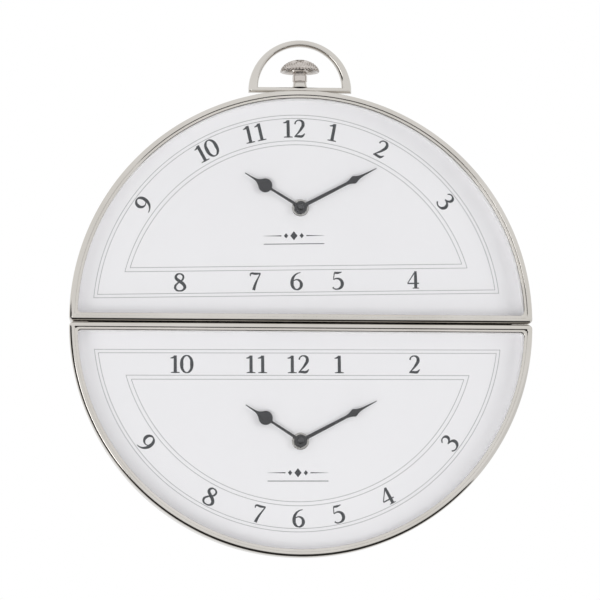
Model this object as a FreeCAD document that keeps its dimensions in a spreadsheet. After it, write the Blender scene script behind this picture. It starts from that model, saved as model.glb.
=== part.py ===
import FreeCAD, Part
import Sketcher
import math
import os

# A wall clock like a large pocket watch: two half-round clocks joined chord to chord, with a bow and
# a knurled crown on top. Millimetres. The wall is the plane y = 0, the dials face -Y, +Z is up and
# the origin lies on the wall at the middle of the seam. Depths are measured forwards from the wall.

SIZES = {
    # case
    "case_radius": 185.0,
    "arc_rise": 1.5,
    "seam_gap": 0.8,
    "wall_gap": 1.0,
    "case_corner_radius": 3.5,
    "skirt_wall": 1.2,
    "skirt_length": 14.0,
    "skirt_fit": 0.2,
    "lip_thickness": 3.0,
    "bead_width": 4.4,
    "bead_step": 1.2,
    "bead_bevel": 1.8,
    "sight_width": 6.6,
    "sight_corner_radius": 3.0,
    "inner_corner_radius": 1.5,
    "band_wall": 1.2,
    "boss_radius": 4.5,
    "boss_bite": 0.8,
    "boss_length": 8.0,
    "boss_low_angle": 24.0,
    "boss_high_angle": 62.0,
    # glass, spacer, dial and back
    "glass_thickness": 2.5,
    "glass_fit": 0.5,
    "glass_gap": 2.0,
    "spacer_wall": 3.6,
    "inside_fit": 0.3,
    "dial_thickness": 2.0,
    "gasket_thickness": 0.8,
    "gasket_gap": 3.0,
    "back_thickness": 1.5,
    "cutout_fit": 1.0,
    "pillar_flats": 7.0,
    "pillar_rim_gap": 27.0,
    "pillar_low_angle": 42.0,
    "pillar_high_angle": 76.0,
    "pillar_chord_x": 62.0,
    "pillar_chord_z": 17.0,
    # screws
    "screw_radius": 1.5,
    "screw_length": 7.0,
    "screw_head_radius": 2.8,
    "screw_head_height": 1.7,
    "screw_clearance": 0.2,
    "thread_clearance": 0.05,
    "screw_sides": 8.0,
    # joining bar and its bolts
    "bar_rim_gap": 15.0,
    "bar_depth": 24.5,
    "bolt_radius": 2.0,
    "bolt_clearance": 0.1,
    "bolt_head_radius": 3.6,
    "bolt_head_height": 2.8,
    "bolt_depth": 14.5,
    "bolt_rim_gap": 80.0,
    "bolt_end": 1.5,
    "bolt_nut_flats": 7.0,
    "bolt_nut_height": 3.2,
    # hanger
    "hanger_width": 44.0,
    "hanger_height": 26.0,
    "hanger_sheet": 1.2,
    "hanger_raise": 4.0,
    "hanger_channel": 22.0,
    "hanger_rim_gap": 33.0,
    "key_entry_radius": 4.5,
    "key_slot_radius": 2.25,
    "key_entry_drop": 4.0,
    "key_slot_length": 8.0,
    "relief_radius": 9.0,
    # movement
    "arbor_rim_gap": 93.2,
    "movement_corner_radius": 3.0,
    "housing_wall": 1.5,
    "bay_front": 1.0,
    "bay_gap": 0.65,
    "bay_back_gap": 0.7,
    "spring_gap": 3.3,
    "partition_wall": 1.2,
    "cover_fit": 0.2,
    "cover_post_radius": 2.4,
    "bush_radius": 4.0,
    "bush_hole_fit": 0.2,
    "bush_proud": 0.5,
    "washer_radius": 6.9,
    "washer_thickness": 0.6,
    "nut_flats": 11.0,
    "nut_height": 2.2,
    # gear train
    "gear_centres": 10.0,
    "knob_angle": 60.0,
    "pinion_teeth": 8.0,
    "motion_teeth": 24.0,
    "hour_teeth": 32.0,
    "tooth_height_share": 1.9,
    "root_half_share": 0.50,
    "tip_half_share": 0.26,
    "tooth_add_share": 0.75,
    "bite": 0.3,
    "wheel_thickness": 1.0,
    "pinion_thickness": 1.4,
    "running_fit": 0.05,
    "end_shake": 0.3,
    "arbor_radius": 1.7,
    "arbor_seat_radius": 1.4,
    "arbor_tail_radius": 1.0,
    "hour_pipe_wall": 0.95,
    "hour_pipe_over": 1.0,
    "pivot_radius": 0.75,
    "pivot_depth": 1.0,
    "knob_radius": 6.0,
    "knob_shaft_radius": 2.0,
    "knob_proud": 0.5,
    "knob_thickness": 2.8,
    "knob_sides": 12.0,
    # hands
    "hand_thickness": 0.5,
    "hand_tip_gap": 18.8,
    "hub_radius": 5.0,
    "hour_hand_angle": 301.4,
    "minute_hand_angle": 62.3,
    "lower_hour_angle": 302.9,
    "lower_minute_angle": 62.1,
    "hour_reach": 52.5,
    "hour_arm_half": 0.9,
    "hour_bulb_centre": 33.9,
    "hour_bulb_radius": 5.7,
    "hour_shoulder_angle": 32.0,
    "hour_flare_radius": 30.0,
    "hour_tip_half": 0.35,
    "minute_arm_half": 1.0,
    "needle_length": 13.0,
    "diamond_front_length": 7.2,
    "diamond_back_length": 9.8,
    "diamond_half": 3.2,
    "minute_tip_half": 0.3,
    "cap_nut_radius": 2.6,
    "cap_nut_height": 2.4,
    # motor and battery
    "board_width": 13.0,
    "board_thickness": 1.0,
    "board_side_gap": 2.0,
    "board_end_gap": 2.65,
    "coil_radius": 2.8,
    "coil_end_gap": 3.0,
    "coil_flange_half": 3.4,
    "coil_flange": 1.0,
    "stator_width": 11.0,
    "stator_end_gap": 2.5,
    "stator_thickness": 0.8,
    "stator_bore": 2.6,
    "stator_bore_gap": 6.5,
    "post_half": 1.3,
    "battery_radius": 7.1,
    "battery_length": 48.0,
    "battery_nub_radius": 2.7,
    "battery_nub": 1.2,
    "battery_fit": 0.1,
    "contact_sheet": 0.5,
    "contact_width": 7.0,
    # bow, crown and stud
    "stud_depth": 17.5,
    "stud_radius": 3.0,
    "stud_clearance": 0.1,
    "collar_radius": 7.0,
    "collar_height": 2.1,
    "bow_depth": 9.0,
    "bow_base": 4.5,
    "bow_half_width": 41.5,
    "bow_height": 42.8,
    "bow_inner_half": 33.6,
    "bow_inner_rise": 37.4,
    "bow_bevel": 1.3,
    "bow_boss_radius": 5.6,
    "bow_boss_height": 3.6,
    "crown_gap": 0.3,
    "stem_radius": 5.5,
    "cap_sides": 24.0,
    "cap_radius": 15.8,
    "cap_rim_height": 8.5,
    "cap_hollow_depth": 1.5,
    "cap_hollow_gap": 1.2,
    "cap_edge_height": 0.8,
    "cap_dome_width": 7.4,
    "cap_crest_width": 2.8,
    "cap_height": 18.7,
    "crown_top_wall": 6.0,
    "stud_nut_flats": 10.0,
    "stud_nut_height": 4.0,
    "stud_end": 1.5,
    "nut_seat": 0.1,
    "overrun": 1.0,
}

ROLE_FRONT = "XZ_Plane"
ROLE_TOP = "XY_Plane"
ROLE_SIDE = "YZ_Plane"
HALF_TURN = 180.0
FULL_TURN = 360.0
NUT_SIDES = 6
TOUCH = 0.01

document = FreeCAD.newDocument("TwoDialClock")
sheet = document.addObject("Spreadsheet::Sheet", "Sizes")
for row, (alias, amount) in enumerate(SIZES.items(), start=1):
    cell = f"A{row}"
    sheet.set(cell, str(amount))
    sheet.setAlias(cell, alias)
document.recompute()


class Size:
    """A size as the expression that binds it to the sheet, with its present number."""

    def __init__(self, text, number):
        self.text = text
        self.number = number

    def join(self, other, sign, number):
        return Size(f"({self.text} {sign} {as_size(other).text})", number)

    def __add__(self, other):
        return self.join(other, "+", self.number + as_size(other).number)

    def __sub__(self, other):
        return self.join(other, "-", self.number - as_size(other).number)

    def __mul__(self, other):
        return self.join(other, "*", self.number * as_size(other).number)

    def __truediv__(self, other):
        return self.join(other, "/", self.number / as_size(other).number)

    def __neg__(self):
        return Size(f"(0 - {self.text})", -self.number)


class Named:
    """The named sizes of the sheet."""

    def __getattr__(self, alias):
        return Size(f"Sizes.{alias}", float(sheet.get(alias)))


def as_size(value):
    return value if isinstance(value, Size) else Size(str(value), float(value))


def cosine(angle):
    return Size(f"cos({angle.text})", math.cos(math.radians(angle.number)))


def sine(angle):
    return Size(f"sin({angle.text})", math.sin(math.radians(angle.number)))


named = Named()
NONE = as_size(0)

# The movement round its battery

movement_depth = (
    named.bay_front + named.battery_fit + named.battery_radius * 2 + named.bay_back_gap
)
chamber_half = (
    named.battery_length + named.battery_nub + named.contact_sheet + named.spring_gap
) / 2
movement_half = chamber_half + named.housing_wall
bay_top = chamber_half - named.battery_radius * 2 - named.bay_gap * 2

# Depths from the wall, forwards

housing_back = named.wall_gap + named.hanger_sheet + named.hanger_raise
plate_front = housing_back + named.back_thickness
housing_front = housing_back + movement_depth
dial_back = housing_front + named.gasket_thickness
dial_front = dial_back + named.dial_thickness
bush_end = dial_front + named.washer_thickness + named.nut_height + named.bush_proud
hour_hand_back = bush_end + named.end_shake
hour_pipe_end = bush_end + named.hour_pipe_over
minute_hand_back = hour_pipe_end + named.end_shake
hand_nut_seat = minute_hand_back + named.hand_thickness
glass_back = hand_nut_seat + named.cap_nut_height + named.glass_gap
lip_back = glass_back + named.glass_thickness
case_front = lip_back + named.lip_thickness

# Insets from the outermost wall of the case

band_outside = named.skirt_wall + named.skirt_fit
band_inside = band_outside + named.band_wall
glass_edge = named.skirt_wall + named.glass_fit
inner_edge = band_inside + named.inside_fit

# Heights

arc_offset = named.seam_gap / 2 + named.arc_rise
band_top = arc_offset + named.case_radius - band_outside
arbor_height = named.case_radius - named.arbor_rim_gap
arbor_up = arc_offset + arbor_height
hanger_height = named.case_radius - named.hanger_rim_gap
chord_wall = inner_edge + named.spacer_wall - named.arc_rise
minute_reach = arbor_height - chord_wall - named.hand_tip_gap


# Helpers for bodies, sketches and features


def bind(obj, prop, size):
    obj.setExpression(prop, as_size(size).text)


def new_body(label, x=NONE, y=NONE, z=NONE, turn=0.0):
    """A body placed in the clock's frame, turned about the depth axis."""
    body = document.addObject("PartDesign::Body", label)
    body.Label = label
    body.Placement = FreeCAD.Placement(
        FreeCAD.Vector(x.number, y.number, z.number),
        FreeCAD.Rotation(FreeCAD.Vector(0, 1, 0), turn),
    )
    for axis, size in (("x", x), ("y", y), ("z", z)):
        bind(body, f"Placement.Base.{axis}", size)
    return body


def case_body(half, part):
    """A body of one half, with its origin at the centre of the case's arc."""
    if half == "upper":
        return new_body(f"{half}_{part}", z=arc_offset)
    return new_body(f"{half}_{part}", z=-arc_offset, turn=HALF_TURN)


def works_body(half, part, x=NONE, z=NONE, turn=0.0):
    """A body of one movement, placed from the hands' arbor, which stays upright in both halves."""
    height = arbor_up if half == "upper" else -arbor_up
    return new_body(f"{half}_{part}", x=x, z=height + z, turn=turn)


def new_sketch(body, role, offset=NONE):
    plane = next(item for item in body.Origin.OriginFeatures if item.Role == role)
    drawing = body.newObject("Sketcher::SketchObject", f"{body.Label}_sketch")
    drawing.AttachmentSupport = [(plane, "")]
    drawing.MapMode = "FlatFace"
    bind(drawing, "AttachmentOffset.Base.z", offset)
    return drawing


def hold(drawing, kind, *items):
    """Add a constraint; a size as its last item is bound to the sheet."""
    if isinstance(items[-1], Size):
        size = items[-1]
        index = drawing.addConstraint(Sketcher.Constraint(kind, *items[:-1], size.number))
        drawing.setExpression(f"Constraints[{index}]", size.text)
    else:
        drawing.addConstraint(Sketcher.Constraint(kind, *items))


def hold_point(drawing, curve, end, x, y):
    if x is NONE:
        hold(drawing, "PointOnObject", curve, end, -2)
    else:
        hold(drawing, "DistanceX", -1, 1, curve, end, x)
    if y is NONE:
        hold(drawing, "PointOnObject", curve, end, -1)
    else:
        hold(drawing, "DistanceY", -1, 1, curve, end, y)


def circle(drawing, x, y, radius):
    shape = Part.Circle(
        FreeCAD.Vector(x.number, y.number, 0), FreeCAD.Vector(0, 0, 1), radius.number
    )
    curve = drawing.addGeometry(shape, False)
    hold_point(drawing, curve, 3, x, y)
    hold(drawing, "Radius", curve, radius)


def outline(drawing, steps):
    """A closed outline. A step is the point it runs to, and the radius where that run is an arc:
    positive for an arc with its centre on the left of the run, negative on the right."""
    points = [FreeCAD.Vector(step[0].number, step[1].number, 0) for step in steps]
    ends = []
    for index, step in enumerate(steps):
        start = points[index - 1]
        finish = points[index]
        if len(step) == 2:
            curve = drawing.addGeometry(Part.LineSegment(start, finish), False)
            ends.append((curve, 1, 2))
            continue
        radius = abs(step[2].number)
        left = step[2].number > 0
        run = finish - start
        side = FreeCAD.Vector(-run.y, run.x, 0).normalize()
        if not left:
            side = side * -1
        rise = math.sqrt(max(radius**2 - run.Length**2 / 4, 0))
        centre = (start + finish) * 0.5 + side * rise
        first, last = (start, finish) if left else (finish, start)
        whole = Part.Circle(centre, FreeCAD.Vector(0, 0, 1), radius)
        angles = [math.atan2((p - centre).y, (p - centre).x) for p in (first, last)]
        curve = drawing.addGeometry(Part.ArcOfCircle(whole, angles[0], angles[1]), False)
        ends.append((curve, 1, 2) if left else (curve, 2, 1))
        hold(drawing, "Radius", curve, step[2] if left else -step[2])
    for index, (curve, _, last) in enumerate(ends):
        following = ends[(index + 1) % len(ends)]
        hold(drawing, "Coincident", curve, last, following[0], following[1])
        hold_point(drawing, curve, last, steps[index][0], steps[index][1])


def rectangle(drawing, left, right, low, high):
    outline(drawing, [(left, low), (right, low), (right, high), (left, high)])


def polygon(drawing, x, y, inside, sides):
    """An even outline whose flats touch a circle."""
    half_side = as_size(HALF_TURN) / sides
    radius = inside / cosine(half_side)
    corners = []
    for index in range(round(sides.number)):
        angle = half_side * 2 * index
        corners.append((x + radius * cosine(angle), y + radius * sine(angle)))
    outline(drawing, corners)


def hexagon(drawing, flats):
    """A nut's outline, from its width across flats."""
    polygon(drawing, NONE, NONE, flats / 2, as_size(NUT_SIDES))


def screw_outline(drawing, x, y, radius):
    """The plain flats that stand for a small screw or its hole."""
    polygon(drawing, x, y, radius, named.screw_sides)


def half_round(drawing, inset, corner):
    """The case's outline, an arc over a chord with rounded corners, drawn inside its outer wall."""
    radius = named.case_radius - inset
    chord = inset - named.arc_rise
    rise = chord.number + corner.number
    reach = math.sqrt((radius.number - corner.number) ** 2 - rise**2)
    lean = math.atan2(rise, reach)
    up = FreeCAD.Vector(0, 0, 1)
    right = Part.Circle(FreeCAD.Vector(reach, rise, 0), up, corner.number)
    left = Part.Circle(FreeCAD.Vector(-reach, rise, 0), up, corner.number)
    big = Part.Circle(FreeCAD.Vector(0, 0, 0), up, radius.number)
    drawing.addGeometry(
        Part.LineSegment(
            FreeCAD.Vector(-reach, chord.number, 0), FreeCAD.Vector(reach, chord.number, 0)
        ),
        False,
    )
    drawing.addGeometry(Part.ArcOfCircle(right, -math.pi / 2, lean), False)
    drawing.addGeometry(Part.ArcOfCircle(big, lean, math.pi - lean), False)
    drawing.addGeometry(Part.ArcOfCircle(left, math.pi - lean, math.pi * 1.5), False)
    for curve in range(4):
        hold(drawing, "Tangent", curve, 2, (curve + 1) % 4, 1)
    hold(drawing, "Horizontal", 0)
    hold(drawing, "Coincident", 2, 3, -1, 1)
    hold(drawing, "Equal", 1, 3)
    hold(drawing, "Radius", 2, radius)
    hold(drawing, "Radius", 1, corner)
    hold(drawing, "DistanceY", -1, 1, 0, 1, chord)


def feature(body, kind, drawing, length=None, back=False, through=False, centred=False):
    made = body.newObject(f"PartDesign::{kind}", f"{body.Label}_{kind.lower()}")
    made.Profile = drawing
    drawing.Visibility = False
    if length is not None:
        bind(made, "Length", length)
    if through:
        made.Type = "ThroughAll"
    if centred:
        made.SideType = "Symmetric"
    made.Reversed = back
    document.recompute()
    return made


def pad(body, drawing, length, **options):
    return feature(body, "Pad", drawing, length, **options)


def cut(body, drawing, length=None, **options):
    """A pocket, which has to take material away."""
    before = body.Shape.Volume
    made = feature(body, "Pocket", drawing, length, **options)
    if body.Shape.Volume >= before:
        raise ValueError(f"a pocket of {body.Label} cuts nothing")
    return made


def dress_edges(body, kind, prop, size, chosen):
    """Round or bevel the edges of the body that the test picks."""
    document.recompute()
    base = body.Tip
    edges = enumerate(base.Shape.Edges, start=1)
    names = [f"Edge{number}" for number, edge in edges if chosen(edge)]
    made = body.newObject(f"PartDesign::{kind}", f"{body.Label}_{kind.lower()}")
    made.Base = (base, names)
    bind(made, prop, size)
    document.recompute()
    return made


def round_edges(body, radius, chosen):
    return dress_edges(body, "Fillet", "Radius", radius, chosen)


def bevel_edges(body, size, chosen, other_size=None):
    """Bevel edges evenly, or by one size down a side and another across the top."""
    made = dress_edges(body, "Chamfer", "Size", size, chosen)
    if other_size is not None:
        made.ChamferType = "Two distances"
        bind(made, "Size2", other_size)
        document.recompute()
    return made


def repeat(body, source, count, axis="N_Axis"):
    """A full ring of one feature about the sketch's own origin."""
    made = body.newObject("PartDesign::PolarPattern", f"{body.Label}_ring")
    made.Originals = [source]
    made.Axis = (source.Profile[0], [axis])
    made.Angle = FULL_TURN
    bind(made, "Occurrences", count)
    body.Tip = made
    document.recompute()
    return made


def disc(body, radius, back, front, x=NONE, z=NONE):
    """A round stretch along the depth, from one depth to another."""
    drawing = new_sketch(body, ROLE_FRONT, back)
    circle(drawing, x, z, radius)
    return pad(body, drawing, front - back)


def hole(body, radius, back, front, x=NONE, z=NONE):
    drawing = new_sketch(body, ROLE_FRONT, back)
    circle(drawing, x, z, radius)
    return cut(body, drawing, front - back, back=True)


def level(edge, depth):
    """Whether an edge lies flat at one depth from the wall."""
    box = edge.BoundBox
    return abs(box.YMin + depth.number) < TOUCH and abs(box.YMax + depth.number) < TOUCH


def outermost(edge):
    """Whether an edge runs round the front of the case's outer wall."""
    middle = edge.valueAt((edge.FirstParameter + edge.LastParameter) / 2)
    inside = named.case_radius.number - math.hypot(middle.x, middle.z)
    above = middle.z + named.arc_rise.number
    near = named.case_corner_radius.number / 2
    return level(edge, case_front) and min(inside, above) < near


def copies(label, source, places):
    """Separate equal solids in one part, each a copy of a source body at its own place."""
    group = document.addObject("Part::Feature", label)
    group.Label = label
    shape = source.Shape.copy()
    shape.Placement = FreeCAD.Placement()
    solids = []
    for place in places:
        solid = shape.copy()
        solid.Placement = place
        solids.append(solid)
    group.Shape = Part.makeCompound(solids)
    return group


def joined(label, bodies):
    """Separate solids in one part."""
    group = document.addObject("Part::Compound", label)
    group.Label = label
    group.Links = bodies
    return group


def half_frame(half):
    """The frame of a half's case parts."""
    turned = half == "lower"
    height = -arc_offset.number if turned else arc_offset.number
    turn = HALF_TURN if turned else 0
    return FreeCAD.Placement(
        FreeCAD.Vector(0, 0, height), FreeCAD.Rotation(FreeCAD.Vector(0, 1, 0), turn)
    )


# Places that several parts share, in the frame of a half's case parts


def boss_places():
    ring = named.case_radius - band_inside - named.boss_radius + named.boss_bite
    places = []
    for angle in (named.boss_low_angle, named.boss_high_angle):
        places.append((ring * cosine(angle), ring * sine(angle)))
        places.append((-(ring * cosine(angle)), ring * sine(angle)))
    return places


def pillar_places():
    ring = named.case_radius - named.pillar_rim_gap
    places = []
    for angle in (named.pillar_low_angle, named.pillar_high_angle):
        across = ring * cosine(angle)
        up = ring * sine(angle)
        places.append((across, up))
        places.append((-across, up))
    places.append((named.pillar_chord_x, named.pillar_chord_z))
    places.append((-named.pillar_chord_x, named.pillar_chord_z))
    return places


def bolt_stations():
    reach = named.case_radius - named.bolt_rim_gap
    return (-reach, reach)


def hanger_screw_stations():
    """The middles of the hanger's two flanges."""
    web = named.hanger_channel / 2 + named.hanger_sheet
    reach = (web + named.hanger_width / 2) / 2
    return (-reach, reach)


# Case parts


def make_bezel(half):
    body = case_body(half, "bezel")
    skirt_back = case_front - named.skirt_length
    drawing = new_sketch(body, ROLE_FRONT, skirt_back)
    half_round(drawing, NONE, named.case_corner_radius)
    pad(body, drawing, named.skirt_length)
    drawing = new_sketch(body, ROLE_FRONT, skirt_back)
    half_round(drawing, named.skirt_wall, named.case_corner_radius - named.skirt_wall)
    cut(body, drawing, named.skirt_length - named.lip_thickness, back=True)
    drawing = new_sketch(body, ROLE_FRONT, case_front)
    half_round(drawing, named.bead_width, named.sight_corner_radius)
    cut(body, drawing, named.bead_step)
    drawing = new_sketch(body, ROLE_FRONT, case_front)
    half_round(drawing, named.sight_width, named.sight_corner_radius)
    cut(body, drawing, named.lip_thickness + named.overrun)
    bevel_edges(body, named.bead_bevel, outermost)
    return body


def make_band(half):
    body = case_body(half, "band")
    outer_corner = named.case_corner_radius - band_outside + named.inner_corner_radius
    drawing = new_sketch(body, ROLE_FRONT)
    half_round(drawing, band_outside, outer_corner)
    pad(body, drawing, glass_back)
    drawing = new_sketch(body, ROLE_FRONT)
    half_round(drawing, band_inside, named.inner_corner_radius)
    cut(body, drawing, back=True, through=True)
    drawing = new_sketch(body, ROLE_FRONT, plate_front)
    for x, z in boss_places():
        screw_outline(drawing, x, z, named.boss_radius)
    pad(body, drawing, named.boss_length)
    drawing = new_sketch(body, ROLE_FRONT, plate_front)
    for x, z in boss_places():
        screw_outline(drawing, x, z, named.screw_radius + named.thread_clearance)
    cut(body, drawing, named.boss_length - named.housing_wall, back=True)
    drawing = new_sketch(body, ROLE_TOP)
    for x in bolt_stations():
        screw_outline(drawing, x, -named.bolt_depth, named.bolt_radius + named.bolt_clearance)
    cut(body, drawing, band_inside + named.overrun, centred=True)
    if half == "upper":
        drawing = new_sketch(body, ROLE_TOP)
        circle(drawing, NONE, -named.stud_depth, named.stud_radius + named.stud_clearance)
        cut(body, drawing, named.case_radius + named.overrun, back=True)
    return body


def make_glass(half):
    body = case_body(half, "glass")
    drawing = new_sketch(body, ROLE_FRONT, glass_back)
    half_round(drawing, glass_edge, named.inner_corner_radius)
    pad(body, drawing, named.glass_thickness)
    return body


def make_spacer(half):
    body = case_body(half, "spacer")
    drawing = new_sketch(body, ROLE_FRONT, dial_front)
    half_round(drawing, inner_edge, named.inner_corner_radius)
    pad(body, drawing, glass_back - dial_front)
    drawing = new_sketch(body, ROLE_FRONT, dial_front)
    half_round(drawing, inner_edge + named.spacer_wall, named.sight_corner_radius)
    cut(body, drawing, back=True, through=True)
    return body


def make_dial(half):
    body = case_body(half, "dial")
    drawing = new_sketch(body, ROLE_FRONT, dial_back)
    half_round(drawing, inner_edge, named.inner_corner_radius)
    pad(body, drawing, named.dial_thickness)
    hole(body, named.bush_radius + named.bush_hole_fit, dial_back, dial_front, z=arbor_height)
    return body


def make_back_plate(half):
    body = case_body(half, "back_plate")
    drawing = new_sketch(body, ROLE_FRONT, housing_back)
    half_round(drawing, inner_edge, named.inner_corner_radius)
    pad(body, drawing, named.back_thickness)
    reach = movement_half + named.cutout_fit
    drawing = new_sketch(body, ROLE_FRONT, housing_back)
    rectangle(drawing, -reach, reach, arbor_height - reach, arbor_height + reach)
    cut(body, drawing, back=True, through=True)
    drawing = new_sketch(body, ROLE_FRONT, housing_back)
    for x, z in boss_places():
        screw_outline(drawing, x, z, named.screw_radius + named.screw_clearance)
    cut(body, drawing, back=True, through=True)
    if half == "upper":
        height = hanger_height - arc_offset
        hole(body, named.relief_radius, housing_back, plate_front, z=height)
        drawing = new_sketch(body, ROLE_FRONT, housing_back)
        for x in hanger_screw_stations():
            screw_outline(drawing, x, height, named.screw_radius + named.thread_clearance)
        cut(body, drawing, back=True, through=True)
    return body


def make_screw(label, length):
    """A small screw: its head's seat is at the origin and its shank runs forwards."""
    body = new_body(label)
    drawing = new_sketch(body, ROLE_FRONT, -named.screw_head_height)
    screw_outline(drawing, NONE, NONE, named.screw_head_radius)
    pad(body, drawing, named.screw_head_height)
    drawing = new_sketch(body, ROLE_FRONT)
    screw_outline(drawing, NONE, NONE, named.screw_radius)
    pad(body, drawing, length)
    return body


def make_back_screws(half, screw):
    frame = half_frame(half)
    places = []
    for x, z in boss_places():
        spot = FreeCAD.Vector(x.number, -housing_back.number, z.number)
        places.append(frame.multiply(FreeCAD.Placement(spot, FreeCAD.Rotation())))
    return copies(f"{half}_back_screws", screw, places)


def make_pillar(label):
    """A hexagonal post between the back plate and the dial."""
    body = new_body(label)
    drawing = new_sketch(body, ROLE_FRONT)
    hexagon(drawing, named.pillar_flats)
    pad(body, drawing, dial_back - plate_front)
    return body


def make_pillars(half, pillar):
    frame = half_frame(half)
    places = []
    for x, z in pillar_places():
        spot = FreeCAD.Vector(x.number, -plate_front.number, z.number)
        places.append(frame.multiply(FreeCAD.Placement(spot, FreeCAD.Rotation())))
    return copies(f"{half}_dial_pillars", pillar, places)


# Joining bar, bolts and hanger


def make_joining_bar():
    body = new_body("joining_bar")
    half_thick = named.seam_gap / 2 + band_outside
    drawing = new_sketch(body, ROLE_FRONT)
    reach = named.case_radius - named.bar_rim_gap
    rectangle(drawing, -reach, reach, -half_thick, half_thick)
    pad(body, drawing, named.bar_depth)
    drawing = new_sketch(body, ROLE_TOP)
    for x in bolt_stations():
        screw_outline(drawing, x, -named.bolt_depth, named.bolt_radius + named.bolt_clearance)
    cut(body, drawing, half_thick * 2 + named.overrun, centred=True)
    return body


def make_bolt(label):
    """A joining bolt on its own axis, with its head up."""
    body = new_body(label)
    seat = named.seam_gap / 2 + band_inside
    low = -(seat + named.bolt_nut_height + named.bolt_end)
    drawing = new_sketch(body, ROLE_TOP, low)
    screw_outline(drawing, NONE, NONE, named.bolt_radius)
    pad(body, drawing, seat - low)
    drawing = new_sketch(body, ROLE_TOP, seat)
    screw_outline(drawing, NONE, NONE, named.bolt_head_radius)
    pad(body, drawing, named.bolt_head_height)
    return body


def make_nut(label, flats, bore, height, low, bore_outline):
    """A hexagon nut on its own axis, up from one height."""
    body = new_body(label)
    drawing = new_sketch(body, ROLE_TOP, low)
    hexagon(drawing, flats)
    pad(body, drawing, height)
    drawing = new_sketch(body, ROLE_TOP, low)
    bore_outline(drawing, NONE, NONE, bore)
    cut(body, drawing, back=True, through=True)
    return body


def make_hanger():
    body = new_body("hanger_bracket", z=hanger_height)
    width = named.hanger_width / 2
    height = named.hanger_height / 2
    web = named.hanger_channel / 2 + named.hanger_sheet
    channel = named.hanger_channel / 2
    rear = housing_back - named.hanger_raise - named.hanger_sheet
    drawing = new_sketch(body, ROLE_FRONT, housing_back - named.hanger_sheet)
    rectangle(drawing, -width, width, -height, height)
    pad(body, drawing, named.hanger_sheet)
    drawing = new_sketch(body, ROLE_FRONT, rear)
    rectangle(drawing, -web, web, -height, height)
    pad(body, drawing, housing_back - rear)
    drawing = new_sketch(body, ROLE_FRONT, rear + named.hanger_sheet)
    rectangle(drawing, -channel, channel, -height - named.overrun, height + named.overrun)
    cut(body, drawing, named.hanger_raise + named.overrun, back=True)
    drawing = new_sketch(body, ROLE_FRONT, rear)
    circle(drawing, NONE, -named.key_entry_drop, named.key_entry_radius)
    cut(body, drawing, named.hanger_sheet + named.overrun, back=True)
    slot = named.key_slot_radius
    top = named.key_slot_length - named.key_entry_drop
    drawing = new_sketch(body, ROLE_FRONT, rear)
    rectangle(drawing, -slot, slot, -named.key_entry_drop, top)
    cut(body, drawing, named.hanger_sheet + named.overrun, back=True)
    drawing = new_sketch(body, ROLE_FRONT, rear)
    circle(drawing, NONE, top, slot)
    cut(body, drawing, named.hanger_sheet + named.overrun, back=True)
    drawing = new_sketch(body, ROLE_FRONT, rear)
    for x in hanger_screw_stations():
        screw_outline(drawing, x, NONE, named.screw_radius + named.screw_clearance)
    cut(body, drawing, back=True, through=True)
    return body


def make_hanger_screws(screw):
    places = []
    for x in hanger_screw_stations():
        depth = housing_back - named.hanger_sheet
        spot = FreeCAD.Vector(x.number, -depth.number, hanger_height.number)
        places.append(FreeCAD.Placement(spot, FreeCAD.Rotation()))
    return copies("hanger_screws", screw, places)


# Movement


def knob_x():
    return named.gear_centres + named.gear_centres * cosine(named.knob_angle)


def knob_z():
    return named.gear_centres * sine(named.knob_angle)


cover_back = housing_back
cover_front = housing_back + named.housing_wall
chamber_front = housing_front - named.housing_wall
hour_front = chamber_front - named.end_shake
hour_back = hour_front - named.wheel_thickness
cannon_front = hour_back - named.end_shake
cannon_back = cannon_front - named.pinion_thickness
pivot_tip = chamber_front + named.pivot_depth - named.end_shake
chamber_low = named.partition_wall - bay_top
battery_x = (named.spring_gap - named.battery_nub - named.contact_sheet) / 2
battery_z = -((chamber_half + bay_top) / 2)
battery_depth = (
    housing_front - named.bay_front - named.battery_fit - named.battery_radius
)
motor_x = named.board_side_gap + named.board_width / 2 - chamber_half
motor_z = (chamber_half + chamber_low) / 2
board_height = chamber_half - chamber_low - named.board_end_gap * 2
stator_height = board_height - named.stator_end_gap * 2
coil_length = stator_height - named.coil_end_gap * 2
stator_back = cover_front + named.board_thickness + named.end_shake + named.coil_flange_half * 2
board_front = stator_back - named.coil_flange_half * 2


def post_places():
    """Posts under the stator's ends: place and depth of the seat."""
    stator_front = stator_back + named.stator_thickness
    edge = stator_height / 2 - named.post_half
    return [
        (motor_x, motor_z - edge, stator_front),
        (motor_x, motor_z + edge, stator_front),
    ]


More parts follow.
